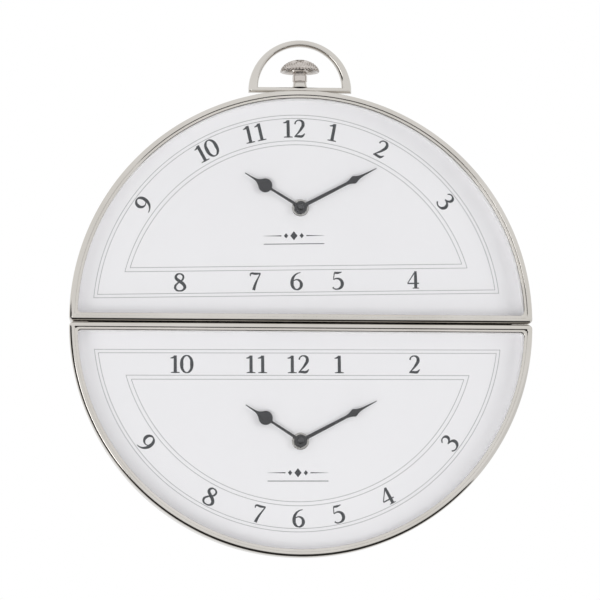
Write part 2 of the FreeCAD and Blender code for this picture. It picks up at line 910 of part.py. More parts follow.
def make_housing(half):
    body = works_body(half, "movement_housing")
    side = movement_half
    drawing = new_sketch(body, ROLE_FRONT, housing_back)
    rectangle(drawing, -side, side, -side, side)
    pad(body, drawing, movement_depth)
    round_edges(
        body,
        named.movement_corner_radius,
        lambda edge: abs(edge.BoundBox.YLength - movement_depth.number) < TOUCH,
    )
    drawing = new_sketch(body, ROLE_FRONT, housing_back)
    rectangle(drawing, -chamber_half, chamber_half, chamber_low, chamber_half)
    cut(body, drawing, movement_depth - named.housing_wall, back=True)
    drawing = new_sketch(body, ROLE_FRONT, housing_back)
    rectangle(drawing, -chamber_half, chamber_half, -chamber_half, -bay_top)
    cut(body, drawing, movement_depth - named.bay_front, back=True)
    for x in (-chamber_half, chamber_half):
        for z in (chamber_low, chamber_half):
            drawing = new_sketch(body, ROLE_FRONT, cover_front)
            inward_x = named.cover_post_radius if x.number < 0 else -named.cover_post_radius
            inward_z = named.cover_post_radius if z.number < 0 else -named.cover_post_radius
            outline(drawing, [(x, z), (x + inward_x, z), (x, z + inward_z)])
            pad(body, drawing, chamber_front - cover_front)
    for x, z, seat in post_places():
        drawing = new_sketch(body, ROLE_FRONT, seat)
        reach = named.post_half
        rectangle(drawing, x - reach, x + reach, z - reach, z + reach)
        pad(body, drawing, chamber_front - seat)
    disc(body, named.bush_radius, housing_front, bush_end)
    pipe_radius = named.arbor_radius + named.running_fit + named.hour_pipe_wall
    hole(body, pipe_radius + named.running_fit, chamber_front, bush_end)
    pivot = named.pivot_radius + named.running_fit
    pivot_end = chamber_front + named.pivot_depth
    hole(body, pivot, chamber_front, pivot_end, x=named.gear_centres)
    hole(body, pivot, chamber_front, pivot_end, x=knob_x(), z=knob_z())
    return body


def make_cover(half):
    body = works_body(half, "movement_cover")
    reach = chamber_half - named.cover_fit
    drawing = new_sketch(body, ROLE_FRONT, cover_back)
    rectangle(drawing, -reach, reach, chamber_low + named.cover_fit, reach)
    pad(body, drawing, named.housing_wall)
    hole(body, named.arbor_tail_radius + named.running_fit, cover_back, cover_front)
    pivot = named.pivot_radius + named.running_fit
    hole(body, pivot, cover_back, cover_front, x=named.gear_centres)
    shaft = named.knob_shaft_radius + named.running_fit
    hole(body, shaft, cover_back, cover_front, x=knob_x(), z=knob_z())
    return body


def toothed(body, teeth, partner, back, front, phase):
    """A toothed disc: straight-sided teeth on a root disc, sized to mesh with its partner."""
    module = named.gear_centres * 2 / (teeth + partner)
    pitch_radius = module * teeth / 2
    tip = pitch_radius + module * named.tooth_add_share
    base = tip - module * named.tooth_height_share
    disc(body, base, back, front)
    low = base - named.bite
    half_base = module * named.root_half_share * math.pi / 2
    half_tip = module * named.tip_half_share * math.pi / 2
    drawing = new_sketch(body, ROLE_FRONT, back)
    drawing.AttachmentOffset = FreeCAD.Placement(
        FreeCAD.Vector(0, 0, back.number), FreeCAD.Rotation(FreeCAD.Vector(0, 0, 1), phase)
    )
    outline(drawing, [(low, -half_base), (tip, -half_tip), (tip, half_tip), (low, half_base)])
    tooth = pad(body, drawing, front - back)
    repeat(body, tooth, teeth)


def make_minute_arbor(half):
    """The minute arbor with the cannon pinion cut on it, its seat for the hand and its tail."""
    body = works_body(half, "minute_arbor")
    seat = minute_hand_back
    disc(body, named.arbor_radius, cover_front + named.end_shake, seat)
    disc(body, named.arbor_seat_radius, seat, hand_nut_seat + named.cap_nut_height / 2)
    disc(body, named.arbor_tail_radius, cover_back, cover_front + named.end_shake)
    toothed(body, named.pinion_teeth, named.motion_teeth, cannon_back, cannon_front, 0.0)
    return body


def make_hour_wheel(half):
    body = works_body(half, "hour_wheel")
    inside = named.arbor_radius + named.running_fit
    toothed(body, named.hour_teeth, named.pinion_teeth, hour_back, hour_front, 0.0)
    disc(body, inside + named.hour_pipe_wall, hour_back, hour_pipe_end)
    hole(body, inside, hour_back, hour_pipe_end)
    return body


def make_motion_wheel(half):
    """The wheel between the cannon pinion and the hour wheel, with its own pinion in front."""
    body = works_body(half, "motion_wheel", x=named.gear_centres)
    disc(body, named.pivot_radius, cover_back, pivot_tip)
    middle = (cannon_back + cannon_front) / 2
    back = middle - named.wheel_thickness / 2
    front = middle + named.wheel_thickness / 2
    half_tooth = FULL_TURN / named.motion_teeth.number / 2
    toothed(body, named.motion_teeth, named.pinion_teeth, back, front, half_tooth)
    half_space = FULL_TURN / named.pinion_teeth.number / 2
    toothed(body, named.pinion_teeth, named.hour_teeth, front, hour_front, half_space)
    return body


def make_setting_knob(half):
    """The knob behind the cover that sets the hands, with its shaft and pinion."""
    body = works_body(half, "setting_knob", x=knob_x(), z=knob_z())
    front = cover_back - named.knob_proud
    drawing = new_sketch(body, ROLE_FRONT, front - named.knob_thickness)
    polygon(drawing, NONE, NONE, named.knob_radius, named.knob_sides)
    pad(body, drawing, named.knob_thickness)
    disc(body, named.knob_shaft_radius, front, cannon_back)
    disc(body, named.pivot_radius, cannon_back, pivot_tip)
    meshed = named.knob_angle.number + HALF_TURN
    toothed(
        body, named.pinion_teeth, named.motion_teeth, cannon_back, cannon_front, meshed
    )
    return body


def make_gasket(half):
    body = works_body(half, "dial_gasket")
    side = movement_half - named.gasket_gap
    drawing = new_sketch(body, ROLE_FRONT, housing_front)
    rectangle(drawing, -side, side, -side, side)
    pad(body, drawing, named.gasket_thickness)
    hole(body, named.bush_radius + named.bush_hole_fit, housing_front, dial_back)
    return body


def make_washer(half):
    body = works_body(half, "dial_washer")
    front = dial_front + named.washer_thickness
    disc(body, named.washer_radius, dial_front, front)
    hole(body, named.bush_radius + named.bush_hole_fit, dial_front, front)
    return body


def make_dial_nut(half):
    body = works_body(half, "dial_nut")
    seat = dial_front + named.washer_thickness
    drawing = new_sketch(body, ROLE_FRONT, seat)
    hexagon(drawing, named.nut_flats)
    pad(body, drawing, named.nut_height)
    hole(body, named.bush_radius + named.thread_clearance, seat, seat + named.nut_height)
    return body


# Hands


def make_hour_hand(half, angle):
    """A hand with a round bulb that draws in to a fine point."""
    body = works_body(half, "hour_hand", turn=angle)
    back = hour_hand_back
    disc(body, named.hub_radius, back, back + named.hand_thickness)
    arm = named.hour_arm_half
    bulb = named.hour_bulb_radius
    centre = named.hour_bulb_centre
    shoulder = centre + (bulb - named.bite) * cosine(named.hour_shoulder_angle)
    wide = (bulb - named.bite) * sine(named.hour_shoulder_angle)
    tip = named.hour_tip_half
    flare = named.hour_flare_radius
    drawing = new_sketch(body, ROLE_FRONT, back)
    outline(
        drawing,
        [
            (arm, NONE),
            (arm, centre),
            (wide, shoulder),
            (tip, named.hour_reach, -flare),
            (-tip, named.hour_reach),
            (-wide, shoulder, -flare),
            (-arm, centre),
            (-arm, NONE),
        ],
    )
    pad(body, drawing, named.hand_thickness)
    disc(body, bulb, back, back + named.hand_thickness, z=centre)
    pipe = named.arbor_radius + named.running_fit + named.hour_pipe_wall
    hole(body, pipe, back, back + named.hand_thickness)
    return body


def make_minute_hand(half, angle):
    """A slim hand with a long diamond before its needle point."""
    body = works_body(half, "minute_hand", turn=angle)
    back = minute_hand_back
    disc(body, named.hub_radius, back, back + named.hand_thickness)
    arm = named.minute_arm_half
    wide = named.diamond_half
    tip = named.minute_tip_half
    end = minute_reach - named.needle_length
    middle = end - named.diamond_front_length
    start = middle - named.diamond_back_length
    drawing = new_sketch(body, ROLE_FRONT, back)
    outline(
        drawing,
        [
            (arm, NONE),
            (arm, start),
            (wide, middle),
            (arm, end),
            (tip, minute_reach),
            (-tip, minute_reach),
            (-arm, end),
            (-wide, middle),
            (-arm, start),
            (-arm, NONE),
        ],
    )
    pad(body, drawing, named.hand_thickness)
    hole(body, named.arbor_seat_radius, back, back + named.hand_thickness)
    return body


def make_hand_nut(half):
    body = works_body(half, "hand_nut")
    seat = hand_nut_seat
    disc(body, named.cap_nut_radius, seat, seat + named.cap_nut_height)
    hole(body, named.arbor_seat_radius, seat, seat + named.cap_nut_height / 2)
    return body


# Motor, circuit board and battery


def make_stator(half):
    body = works_body(half, "motor_stator", x=motor_x, z=motor_z)
    width = named.stator_width / 2
    height = stator_height / 2
    drawing = new_sketch(body, ROLE_FRONT, stator_back)
    rectangle(drawing, -width, width, -height, height)
    pad(body, drawing, named.stator_thickness)
    hole(
        body,
        named.stator_bore,
        stator_back,
        stator_back + named.stator_thickness,
        z=height - named.stator_bore_gap,
    )
    return body


def make_coil(half):
    """The motor's wound bobbin, lying upright along the stator."""
    body = works_body(half, "motor_coil", x=motor_x, z=motor_z)
    depth = -(stator_back - named.coil_flange_half)
    low = -(coil_length / 2)
    drawing = new_sketch(body, ROLE_TOP, low)
    circle(drawing, NONE, depth, named.coil_radius)
    pad(body, drawing, coil_length)
    reach = named.coil_flange_half
    for start in (low, -low - named.coil_flange):
        drawing = new_sketch(body, ROLE_TOP, start)
        rectangle(drawing, -reach, reach, depth - reach, depth + reach)
        pad(body, drawing, named.coil_flange)
    return body


def make_board(half):
    body = works_body(half, "circuit_board", x=motor_x, z=motor_z)
    width = named.board_width / 2
    height = board_height / 2
    drawing = new_sketch(body, ROLE_FRONT, board_front - named.board_thickness)
    rectangle(drawing, -width, width, -height, height)
    pad(body, drawing, named.board_thickness)
    return body


def make_battery(half):
    """A round cell across the bay, with its nub to the right."""
    body = works_body(half, "battery", x=battery_x, z=battery_z)
    low = -(named.battery_length / 2)
    drawing = new_sketch(body, ROLE_SIDE, low)
    circle(drawing, -battery_depth, NONE, named.battery_radius)
    pad(body, drawing, named.battery_length)
    drawing = new_sketch(body, ROLE_SIDE, -low)
    circle(drawing, -battery_depth, NONE, named.battery_nub_radius)
    pad(body, drawing, named.battery_nub)
    return body


def make_contacts(half):
    """The flat contact at the nub and the bowed one at the flat end."""
    sheet_thick = named.contact_sheet
    nub_end = battery_x + named.battery_length / 2 + named.battery_nub
    flat_end = battery_x - named.battery_length / 2
    back = battery_depth - named.contact_width / 2
    height = named.battery_radius - sheet_thick
    flat = works_body(half, "flat_contact", z=battery_z)
    drawing = new_sketch(flat, ROLE_FRONT, back)
    rectangle(drawing, nub_end, chamber_half, -height, height)
    pad(flat, drawing, named.contact_width)
    bowed = works_body(half, "bowed_contact", z=battery_z)
    wall = -chamber_half
    drawing = new_sketch(bowed, ROLE_FRONT, back)
    outline(
        drawing,
        [
            (wall, -height),
            (wall + sheet_thick, -height),
            (flat_end, NONE),
            (wall + sheet_thick, height),
            (wall, height),
            (flat_end - sheet_thick * 2, NONE),
        ],
    )
    pad(bowed, drawing, named.contact_width)
    return joined(f"{half}_battery_contacts", [flat, bowed])


# Bow, crown and stud, placed from the top of the band


def top_body(label):
    return new_body(label, y=-named.stud_depth, z=band_top)


bar_low = named.collar_height
bar_high = bar_low + named.bow_base
boss_high = bar_high + named.bow_boss_height
crown_low = boss_high + named.crown_gap


def arch(drawing, half, low, high):
    """An arch over a straight foot: one arc through its two ends and its crest."""
    rise = high - low
    radius = (half * half + rise * rise) / rise / 2
    left = FreeCAD.Vector(-half.number, low.number, 0)
    right = FreeCAD.Vector(half.number, low.number, 0)
    crest = FreeCAD.Vector(0, high.number, 0)
    drawing.addGeometry(Part.LineSegment(left, right), False)
    drawing.addGeometry(Part.Arc(right, crest, left), False)
    hold(drawing, "Coincident", 0, 2, 1, 1)
    hold(drawing, "Coincident", 1, 2, 0, 1)
    hold(drawing, "Radius", 1, radius)
    hold_point(drawing, 0, 1, -half, low)
    hold_point(drawing, 0, 2, half, low)


def make_bow():
    """A D-shaped bow: an arch over a straight base bar, with a boss for the stud."""
    body = top_body("bow")
    drawing = new_sketch(body, ROLE_FRONT)
    arch(drawing, named.bow_half_width, bar_low, bar_low + named.bow_height)
    pad(body, drawing, named.bow_depth, centred=True)
    drawing = new_sketch(body, ROLE_FRONT)
    arch(drawing, named.bow_inner_half, bar_high, bar_low + named.bow_inner_rise)
    cut(body, drawing, named.bow_depth + named.overrun, centred=True)
    face = named.bow_depth.number / 2

    def on_a_face(edge):
        box = edge.BoundBox
        return box.YLength < TOUCH and abs(abs(box.YMin) - face) < TOUCH

    bevel_edges(body, named.bow_bevel, on_a_face)
    drawing = new_sketch(body, ROLE_TOP, bar_high - named.bow_bevel)
    circle(drawing, NONE, NONE, named.bow_boss_radius)
    pad(body, drawing, named.bow_boss_height + named.bow_bevel)
    drawing = new_sketch(body, ROLE_TOP)
    circle(drawing, NONE, NONE, named.stud_radius + named.stud_clearance / 2)
    cut(body, drawing, back=True, through=True)
    return body


def make_crown():
    """A mushroom knob: a faceted cap, domed by two bevels, hollow below and on a round stem."""
    body = top_body("crown")
    bore = named.stud_radius + named.stud_clearance / 2
    bore_end = crown_low + named.cap_height - named.crown_top_wall
    rim = crown_low + named.cap_rim_height
    top = crown_low + named.cap_height
    drawing = new_sketch(body, ROLE_TOP, rim)
    polygon(drawing, NONE, NONE, named.cap_radius, named.cap_sides)
    pad(body, drawing, top - rim)

    def round_the_top(edge):
        return edge.BoundBox.ZMin > top.number - TOUCH

    dome_height = top - rim - named.cap_edge_height
    bevel_edges(body, dome_height, round_the_top, named.cap_dome_width)
    bevel_edges(body, named.cap_crest_width, round_the_top)
    drawing = new_sketch(body, ROLE_TOP, rim)
    polygon(drawing, NONE, NONE, named.cap_radius - named.cap_hollow_gap, named.cap_sides)
    cut(body, drawing, named.cap_hollow_depth, back=True)
    drawing = new_sketch(body, ROLE_TOP, crown_low)
    circle(drawing, NONE, NONE, named.stem_radius)
    pad(body, drawing, named.cap_rim_height + named.cap_hollow_depth)
    drawing = new_sketch(body, ROLE_TOP, crown_low)
    circle(drawing, NONE, NONE, bore)
    cut(body, drawing, bore_end - crown_low, back=True)
    return body


def make_stud():
    """The stud through the band, with a collar under the bow."""
    body = top_body("crown_stud")
    low = -(named.band_wall + named.nut_seat + named.stud_nut_height + named.stud_end)
    high = crown_low + named.cap_height - named.crown_top_wall - named.overrun
    drawing = new_sketch(body, ROLE_TOP, low)
    circle(drawing, NONE, NONE, named.stud_radius)
    pad(body, drawing, high - low)
    drawing = new_sketch(body, ROLE_TOP)
    circle(drawing, NONE, NONE, named.collar_radius)
    pad(body, drawing, named.collar_height)
    return body


# The whole clock


def build_half(half, hour_angle, minute_angle, screw, pillar):
    return [
        make_bezel(half),
        make_band(half),
        make_glass(half),
        make_spacer(half),
        make_dial(half),
        make_back_plate(half),
        make_back_screws(half, screw),
        make_pillars(half, pillar),
        make_housing(half),
        make_cover(half),
        make_gasket(half),
        make_washer(half),
        make_dial_nut(half),
        make_minute_arbor(half),
        make_hour_wheel(half),
        make_motion_wheel(half),
        make_setting_knob(half),
        make_hour_hand(half, hour_angle),
        make_minute_hand(half, minute_angle),
        make_hand_nut(half),
        make_stator(half),
        make_coil(half),
        make_board(half),
        make_battery(half),
        make_contacts(half),
    ]


def build_shared(screw):
    seat = named.seam_gap / 2 + band_inside
    bolt = make_bolt("one_bolt")
    bolt_nut = make_nut(
        "one_bolt_nut",
        named.bolt_nut_flats,
        named.bolt_radius,
        named.bolt_nut_height,
        -seat - named.bolt_nut_height,
        screw_outline,
    )
    stations = []
    for x in bolt_stations():
        spot = FreeCAD.Vector(x.number, -named.bolt_depth.number, 0)
        stations.append(FreeCAD.Placement(spot, FreeCAD.Rotation()))
    nut_high = -(named.band_wall + named.nut_seat)
    stud_nut = make_nut(
        "stud_nut",
        named.stud_nut_flats,
        named.stud_radius,
        named.stud_nut_height,
        nut_high - named.stud_nut_height,
        circle,
    )
    bind(stud_nut, "Placement.Base.y", -named.stud_depth)
    bind(stud_nut, "Placement.Base.z", band_top)
    document.recompute()
    return [
        make_joining_bar(),
        copies("joining_bolts", bolt, stations),
        copies("joining_nuts", bolt_nut, stations),
        make_hanger(),
        make_hanger_screws(screw),
        make_bow(),
        make_crown(),
        make_stud(),
        stud_nut,
    ]


one_screw = make_screw("one_screw", named.screw_length)
one_hanger_screw = make_screw(
    "one_hanger_screw", named.hanger_sheet + named.back_thickness + named.overrun
)
one_pillar = make_pillar("one_pillar")
parts = build_half(
    "upper", named.hour_hand_angle.number, named.minute_hand_angle.number, one_screw, one_pillar
)
parts += build_half(
    "lower", named.lower_hour_angle.number, named.lower_minute_angle.number, one_screw, one_pillar
)
parts += build_shared(one_hanger_screw)
document.recompute()

for item in document.Objects:
    if "Invalid" in item.State or "Error" in item.State:
        raise ValueError(f"{item.Label} did not build: {item.State}")

os.makedirs("parts", exist_ok=True)
for part in parts:
    if part.Shape.isNull() or not part.Shape.isValid():
        raise ValueError(f"{part.Label} has no sound shape")
    part.Shape.exportStep(f"parts/{part.Label}.step")
    print(part.Label, len(part.Shape.Solids), round(part.Shape.Volume, 1))
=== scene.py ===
import math

import bmesh
import bpy
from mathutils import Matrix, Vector


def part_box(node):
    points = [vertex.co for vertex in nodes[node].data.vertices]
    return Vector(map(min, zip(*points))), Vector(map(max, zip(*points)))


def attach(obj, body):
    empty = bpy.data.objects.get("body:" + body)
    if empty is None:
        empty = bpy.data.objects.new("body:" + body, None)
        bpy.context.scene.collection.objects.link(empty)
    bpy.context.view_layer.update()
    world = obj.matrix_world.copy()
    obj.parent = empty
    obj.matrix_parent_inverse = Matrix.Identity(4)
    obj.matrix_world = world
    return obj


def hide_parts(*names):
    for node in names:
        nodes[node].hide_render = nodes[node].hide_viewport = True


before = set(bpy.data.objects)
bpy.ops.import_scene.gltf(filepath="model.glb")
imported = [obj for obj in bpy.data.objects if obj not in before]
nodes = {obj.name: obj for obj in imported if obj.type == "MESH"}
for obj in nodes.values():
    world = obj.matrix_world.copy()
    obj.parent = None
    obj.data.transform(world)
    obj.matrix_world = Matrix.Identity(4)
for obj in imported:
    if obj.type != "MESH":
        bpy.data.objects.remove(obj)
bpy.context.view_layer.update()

# Sizes of the case, read from the frame, in metres

MM = 0.001
MERGE_DISTANCE = 0.002 * MM
HALVES = ("upper", "lower")
BEZEL_LOW, BEZEL_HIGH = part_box("upper_bezel")
CASE_RADIUS = BEZEL_HIGH.x
SEAM_HALF = BEZEL_LOW.z
ARC_HEIGHT = BEZEL_HIGH.z - CASE_RADIUS
ARC_RISE = ARC_HEIGHT - SEAM_HALF
FRONT = BEZEL_LOW.y
BEZEL_BACK = BEZEL_HIGH.y
BAND_LOW, BAND_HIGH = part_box("upper_band")
BAND_INSET = CASE_RADIUS - BAND_HIGH.x
DIAL_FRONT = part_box("upper_dial")[0].y

# Bezels and bands

BEAD_WIDTH = 4.4 * MM
BEAD_ROUND = 2.6 * MM
BEAD_INNER_ROUND = 1.0 * MM
BEAD_STEP = 1.2 * MM
SIGHT_INSET = 6.6 * MM
SIGHT_ROUND = 0.9 * MM
LIP = 3.0 * MM
SKIRT_GAP = 0.1 * MM
SKIRT_WALL = BAND_INSET - SKIRT_GAP
CASE_CORNER = 3.5 * MM
SIGHT_CORNER = 3.0 * MM
LEAST_CORNER = 1.2 * MM
BAND_WALL = 1.2 * MM
ARC_STEPS = 144
CORNER_STEPS = 6
ROUND_STEPS = 4
BRIDGE_LIFT = 0.5

# Printed dial: sizes in the print's own frame, from the centre of its arcs

PRINT_LIFT = 0.03 * MM
LINE_WIDTH = 0.5 * MM
TRACK_CORNER = 0.3 * MM
TRACK_RADII = tuple(radius * MM for radius in (163.6, 160.9, 142.8, 139.6))
TRACK_CHORDS = tuple(height * MM for height in (17.5, 20.2, 38.1, 41.3))
PRINT_CENTRE = {"upper": (-2.5 * MM, 3.4 * MM), "lower": (-2.2 * MM, 0.8 * MM)}
PRINT_TURN = {"upper": math.radians(1.1), "lower": math.radians(0.3)}
NUMERAL_HEIGHT = 14.1 * MM
NUMERAL_RADIUS = 152.4 * MM
NUMERAL_ANGLES = tuple(math.radians(angle) for angle in (12.0, 27.5, 52.7))
CHORD_ROW = 29.4 * MM
CHORD_PLACES = tuple(place * MM for place in (33.0, 93.5))
ARC_HOURS = {"upper": "9 10 11 12 1 2 3".split(), "lower": "9 8 7 6 5 4 3".split()}
CHORD_HOURS = {"upper": "8 7 6 5 4".split(), "lower": "10 11 12 1 2".split()}
DIGIT_MIDDLE = 0.30
DIGIT_STEP = 0.66
DIGIT_WIDEN = 1.14
STROKE_WEIGHT = 1.25
INK_THICKNESS = 0.02
ORNAMENT_CENTRE = {"upper": (-1.5 * MM, 65.9 * MM), "lower": (-0.4 * MM, 116.2 * MM)}
ORNAMENT_HALF = 24.3 * MM
RULE_DROP = 6.6 * MM
RULE_WIDTH = 0.7 * MM
TAPER_START = 10.0 * MM
TAPER_HALF_WIDTHS = (RULE_WIDTH * 0.75, RULE_WIDTH / 8)
LOZENGE_PLACE = 6.3 * MM
SIDE_LOZENGE = (2.1 * MM, 1.7 * MM)
MIDDLE_LOZENGE = (3.6 * MM, 2.9 * MM)
LOZENGE_TIP = RULE_WIDTH / 16

# Crown: its profile's rows are millimetres beyond a radius and over a height

CROWN_LOW, CROWN_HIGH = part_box("crown")
CROWN_MIDDLE = (CROWN_LOW + CROWN_HIGH) / 2
CROWN_RADIUS = CROWN_HIGH.x
CROWN_HEIGHT = CROWN_HIGH.z - CROWN_LOW.z
STEM_RADIUS = 5.9 * MM
CAP_LOW = 8.9 * MM
DOME_FULLNESS = 1.15
CAP_ROWS = 10
CAP_SIDES = 72
CAP_EDGE = ((-0.7, -0.5), (-2.2, -0.1))
STEM_TOP = (
    (3.0, 1.1),
    (0.9, 0.7),
    (0.0, -0.4),
    (0.0, -2.2),
    (-0.5, -2.6),
    (-0.5, -3.1),
    (0.0, -3.5),
)
STEM_FOOT = ((0.0, 1.0), (-0.7, 0.3), (-0.7, 0.0))
KNURL = 0.75 * MM
KNURL_FIRST_ROW = 3
KNURL_MARGIN = 0.05 * MM

# Bow and its boss, whose rows are written as the crown's

BOW_LOW, BOW_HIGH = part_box("bow")
BOW_DEPTH = 9.0 * MM
BOW_BASE = 4.5 * MM
BOW_INNER_HALF = 33.6 * MM
BOW_INNER_RISE = 37.4 * MM
BOW_ROWS = 20
BOW_SQUARENESS = 0.72
BOW_STEPS = 96
BOSS_RADIUS = 5.6 * MM
BOSS_HEIGHT = 3.6 * MM
BOSS_FOOT = ((0.5, 0.0), (0.5, 0.7), (0.0, 0.9))
BOSS_TOP = ((0.0, -0.9), (-0.5, -0.7), (-0.5, -0.3), (-0.1, -0.2), (-0.1, 0.0), (-2.4, 0.0))

# Dial nuts, washers and screws

NUT_SHRINK = 0.8 * MM
NUT_CHAMFER = 0.8 * MM
NUT_EDGE = 0.25 * MM
FACING = 0.9
WASHER_ROUND = 0.5 * MM
WASHER_BORE = 5.0 * MM
HEAD_HEIGHT = 1.6 * MM
HEAD_STEPS = 6
HEAD_DOME = 0.75
HEAD_FULLNESS = 0.8
SHANK_SHARE = 0.45
RECESS_WIDTH_SHARE = 0.3
RECESS_LENGTH_SHARE = 1.1
TURNED_STEPS = 48

# Cap nuts: rows as shares of their radius and height

CAP_NUT_ROWS = (
    (1.0, 0.0),
    (1.0, 0.32),
    (0.9, 0.38),
    (0.86, 0.5),
    (0.94, 0.56),
    (0.94, 0.72),
    (0.82, 0.86),
    (0.58, 0.96),
    (0.3, 1.0),
    (0.0, 1.0),
)

# Hands: a blade's rows are half widths and distances from the arbor, in millimetres

HAND_ANGLES = {
    "upper": {"hour": math.radians(301.4), "minute": math.radians(62.3)},
    "lower": {"hour": math.radians(302.9), "minute": math.radians(62.1)},
}
HUB_RADIUS = 5.0 * MM
HUB_CHAMFER = 0.15 * MM
HUB_BORES = {"hour": 2.7 * MM, "minute": 1.4 * MM}
BLADE_STEP = 0.06 * MM
BLADE_ROUND = 0.12 * MM
BULB_RADIUS = 5.65
BULB_CENTRE = 33.4
BULB_TURNS = [math.radians(angle) for angle in range(12, 145, 12)]
BULB = [
    (BULB_RADIUS * math.sin(turn), BULB_CENTRE - BULB_RADIUS * math.cos(turn))
    for turn in BULB_TURNS
]
HAND_ROWS = {
    "hour": [
        (1.15, 3.6),
        (0.95, 27.0),
        *BULB,
        (2.3, 39.3),
        (1.35, 40.9),
        (0.85, 42.8),
        (0.6, 46.0),
        (0.35, 52.5),
    ],
    "minute": [
        (1.45, 3.6),
        (1.3, 28.0),
        (1.15, 41.0),
        (1.45, 43.4),
        (2.2, 45.7),
        (3.2, 48.0),
        (3.15, 48.7),
        (2.1, 50.9),
        (1.3, 53.3),
        (0.85, 56.5),
        (0.3, 68.6),
    ],
}

# Stroke shapes of the numerals, at a height of one: x, y and half width along each stroke

OPEN, CLOSED = False, True
STROKES = {
    "0": [
        (
            CLOSED,
            (0.30, 0.985, 0.025),
            (0.48, 0.86, 0.055),
            (0.55, 0.50, 0.08),
            (0.48, 0.14, 0.055),
            (0.30, 0.015, 0.025),
            (0.12, 0.14, 0.055),
            (0.05, 0.50, 0.08),
            (0.12, 0.86, 0.055),
        )
    ],
    "1": [
        (OPEN, (0.31, 0.01, 0.072), (0.31, 0.50, 0.072), (0.31, 0.99, 0.068)),
        (OPEN, (0.30, 0.95, 0.05), (0.20, 0.87, 0.04), (0.07, 0.84, 0.02)),
        (OPEN, (0.09, 0.018, 0.02), (0.31, 0.03, 0.035), (0.53, 0.018, 0.02)),
    ],
    "2": [
        (
            OPEN,
            (0.07, 0.76, 0.04),
            (0.13, 0.91, 0.03),
            (0.28, 0.98, 0.03),
            (0.44, 0.90, 0.06),
            (0.48, 0.72, 0.075),
            (0.38, 0.48, 0.06),
            (0.20, 0.22, 0.035),
            (0.04, 0.03, 0.02),
        ),
        (OPEN, (0.04, 0.045, 0.03), (0.22, 0.06, 0.058), (0.42, 0.06, 0.058), (0.56, 0.21, 0.02)),
    ],
    "3": [
        (
            OPEN,
            (0.08, 0.84, 0.03),
            (0.17, 0.95, 0.03),
            (0.29, 0.98, 0.03),
            (0.44, 0.89, 0.06),
            (0.46, 0.74, 0.065),
            (0.36, 0.60, 0.04),
            (0.20, 0.54, 0.022),
        ),
        (
            OPEN,
            (0.20, 0.54, 0.022),
            (0.40, 0.50, 0.045),
            (0.52, 0.34, 0.075),
            (0.48, 0.13, 0.07),
            (0.32, 0.015, 0.035),
            (0.15, 0.03, 0.03),
            (0.04, 0.13, 0.035),
        ),
    ],
    "4": [
        (OPEN, (0.43, 0.985, 0.03), (0.23, 0.65, 0.024), (0.03, 0.31, 0.022)),
        (OPEN, (0.02, 0.29, 0.03), (0.30, 0.29, 0.032), (0.60, 0.29, 0.03)),
        (OPEN, (0.43, 0.985, 0.055), (0.43, 0.50, 0.07), (0.43, 0.01, 0.07)),
        (OPEN, (0.27, 0.016, 0.018), (0.43, 0.025, 0.03), (0.59, 0.016, 0.018)),
    ],
    "5": [
        (OPEN, (0.13, 0.95, 0.045), (0.30, 0.94, 0.052), (0.50, 0.98, 0.02)),
        (OPEN, (0.14, 0.95, 0.025), (0.11, 0.75, 0.022), (0.09, 0.56, 0.022)),
        (
            OPEN,
            (0.09, 0.56, 0.022),
            (0.25, 0.62, 0.035),
            (0.43, 0.55, 0.06),
            (0.52, 0.35, 0.078),
            (0.46, 0.12, 0.065),
            (0.28, 0.015, 0.033),
            (0.13, 0.03, 0.03),
            (0.04, 0.12, 0.035),
        ),
    ],
    "6": [
        (
            OPEN,
            (0.50, 0.985, 0.018),
            (0.32, 0.92, 0.03),
            (0.15, 0.74, 0.055),
            (0.07, 0.44, 0.078),
            (0.12, 0.15, 0.065),
            (0.28, 0.015, 0.03),
            (0.45, 0.08, 0.055),
            (0.53, 0.29, 0.075),
            (0.46, 0.50, 0.055),
            (0.30, 0.58, 0.03),
            (0.12, 0.50, 0.02),
        )
    ],
    "7": [
        (OPEN, (0.05, 0.80, 0.018), (0.07, 0.94, 0.04), (0.30, 0.94, 0.055), (0.56, 0.95, 0.035)),
        (OPEN, (0.55, 0.95, 0.025), (0.42, 0.66, 0.035), (0.29, 0.34, 0.055), (0.20, 0.01, 0.07)),
    ],
    "8": [
        (
            CLOSED,
            (0.30, 0.985, 0.03),
            (0.14, 0.91, 0.05),
            (0.11, 0.76, 0.065),
            (0.28, 0.57, 0.072),
            (0.46, 0.41, 0.075),
            (0.54, 0.22, 0.07),
            (0.45, 0.06, 0.042),
            (0.29, 0.015, 0.03),
            (0.12, 0.07, 0.045),
            (0.06, 0.24, 0.055),
            (0.17, 0.43, 0.04),
            (0.34, 0.56, 0.032),
            (0.46, 0.70, 0.045),
            (0.46, 0.88, 0.045),
        )
    ],
}
STROKES["9"] = [
    (closed, *((2 * DIGIT_MIDDLE - x, 1.0 - y, half) for x, y, half in points))
    for closed, *points in STROKES["6"]
]

# Camera, floor, lamps (place, side and power) and dark cards (place, size and turn)

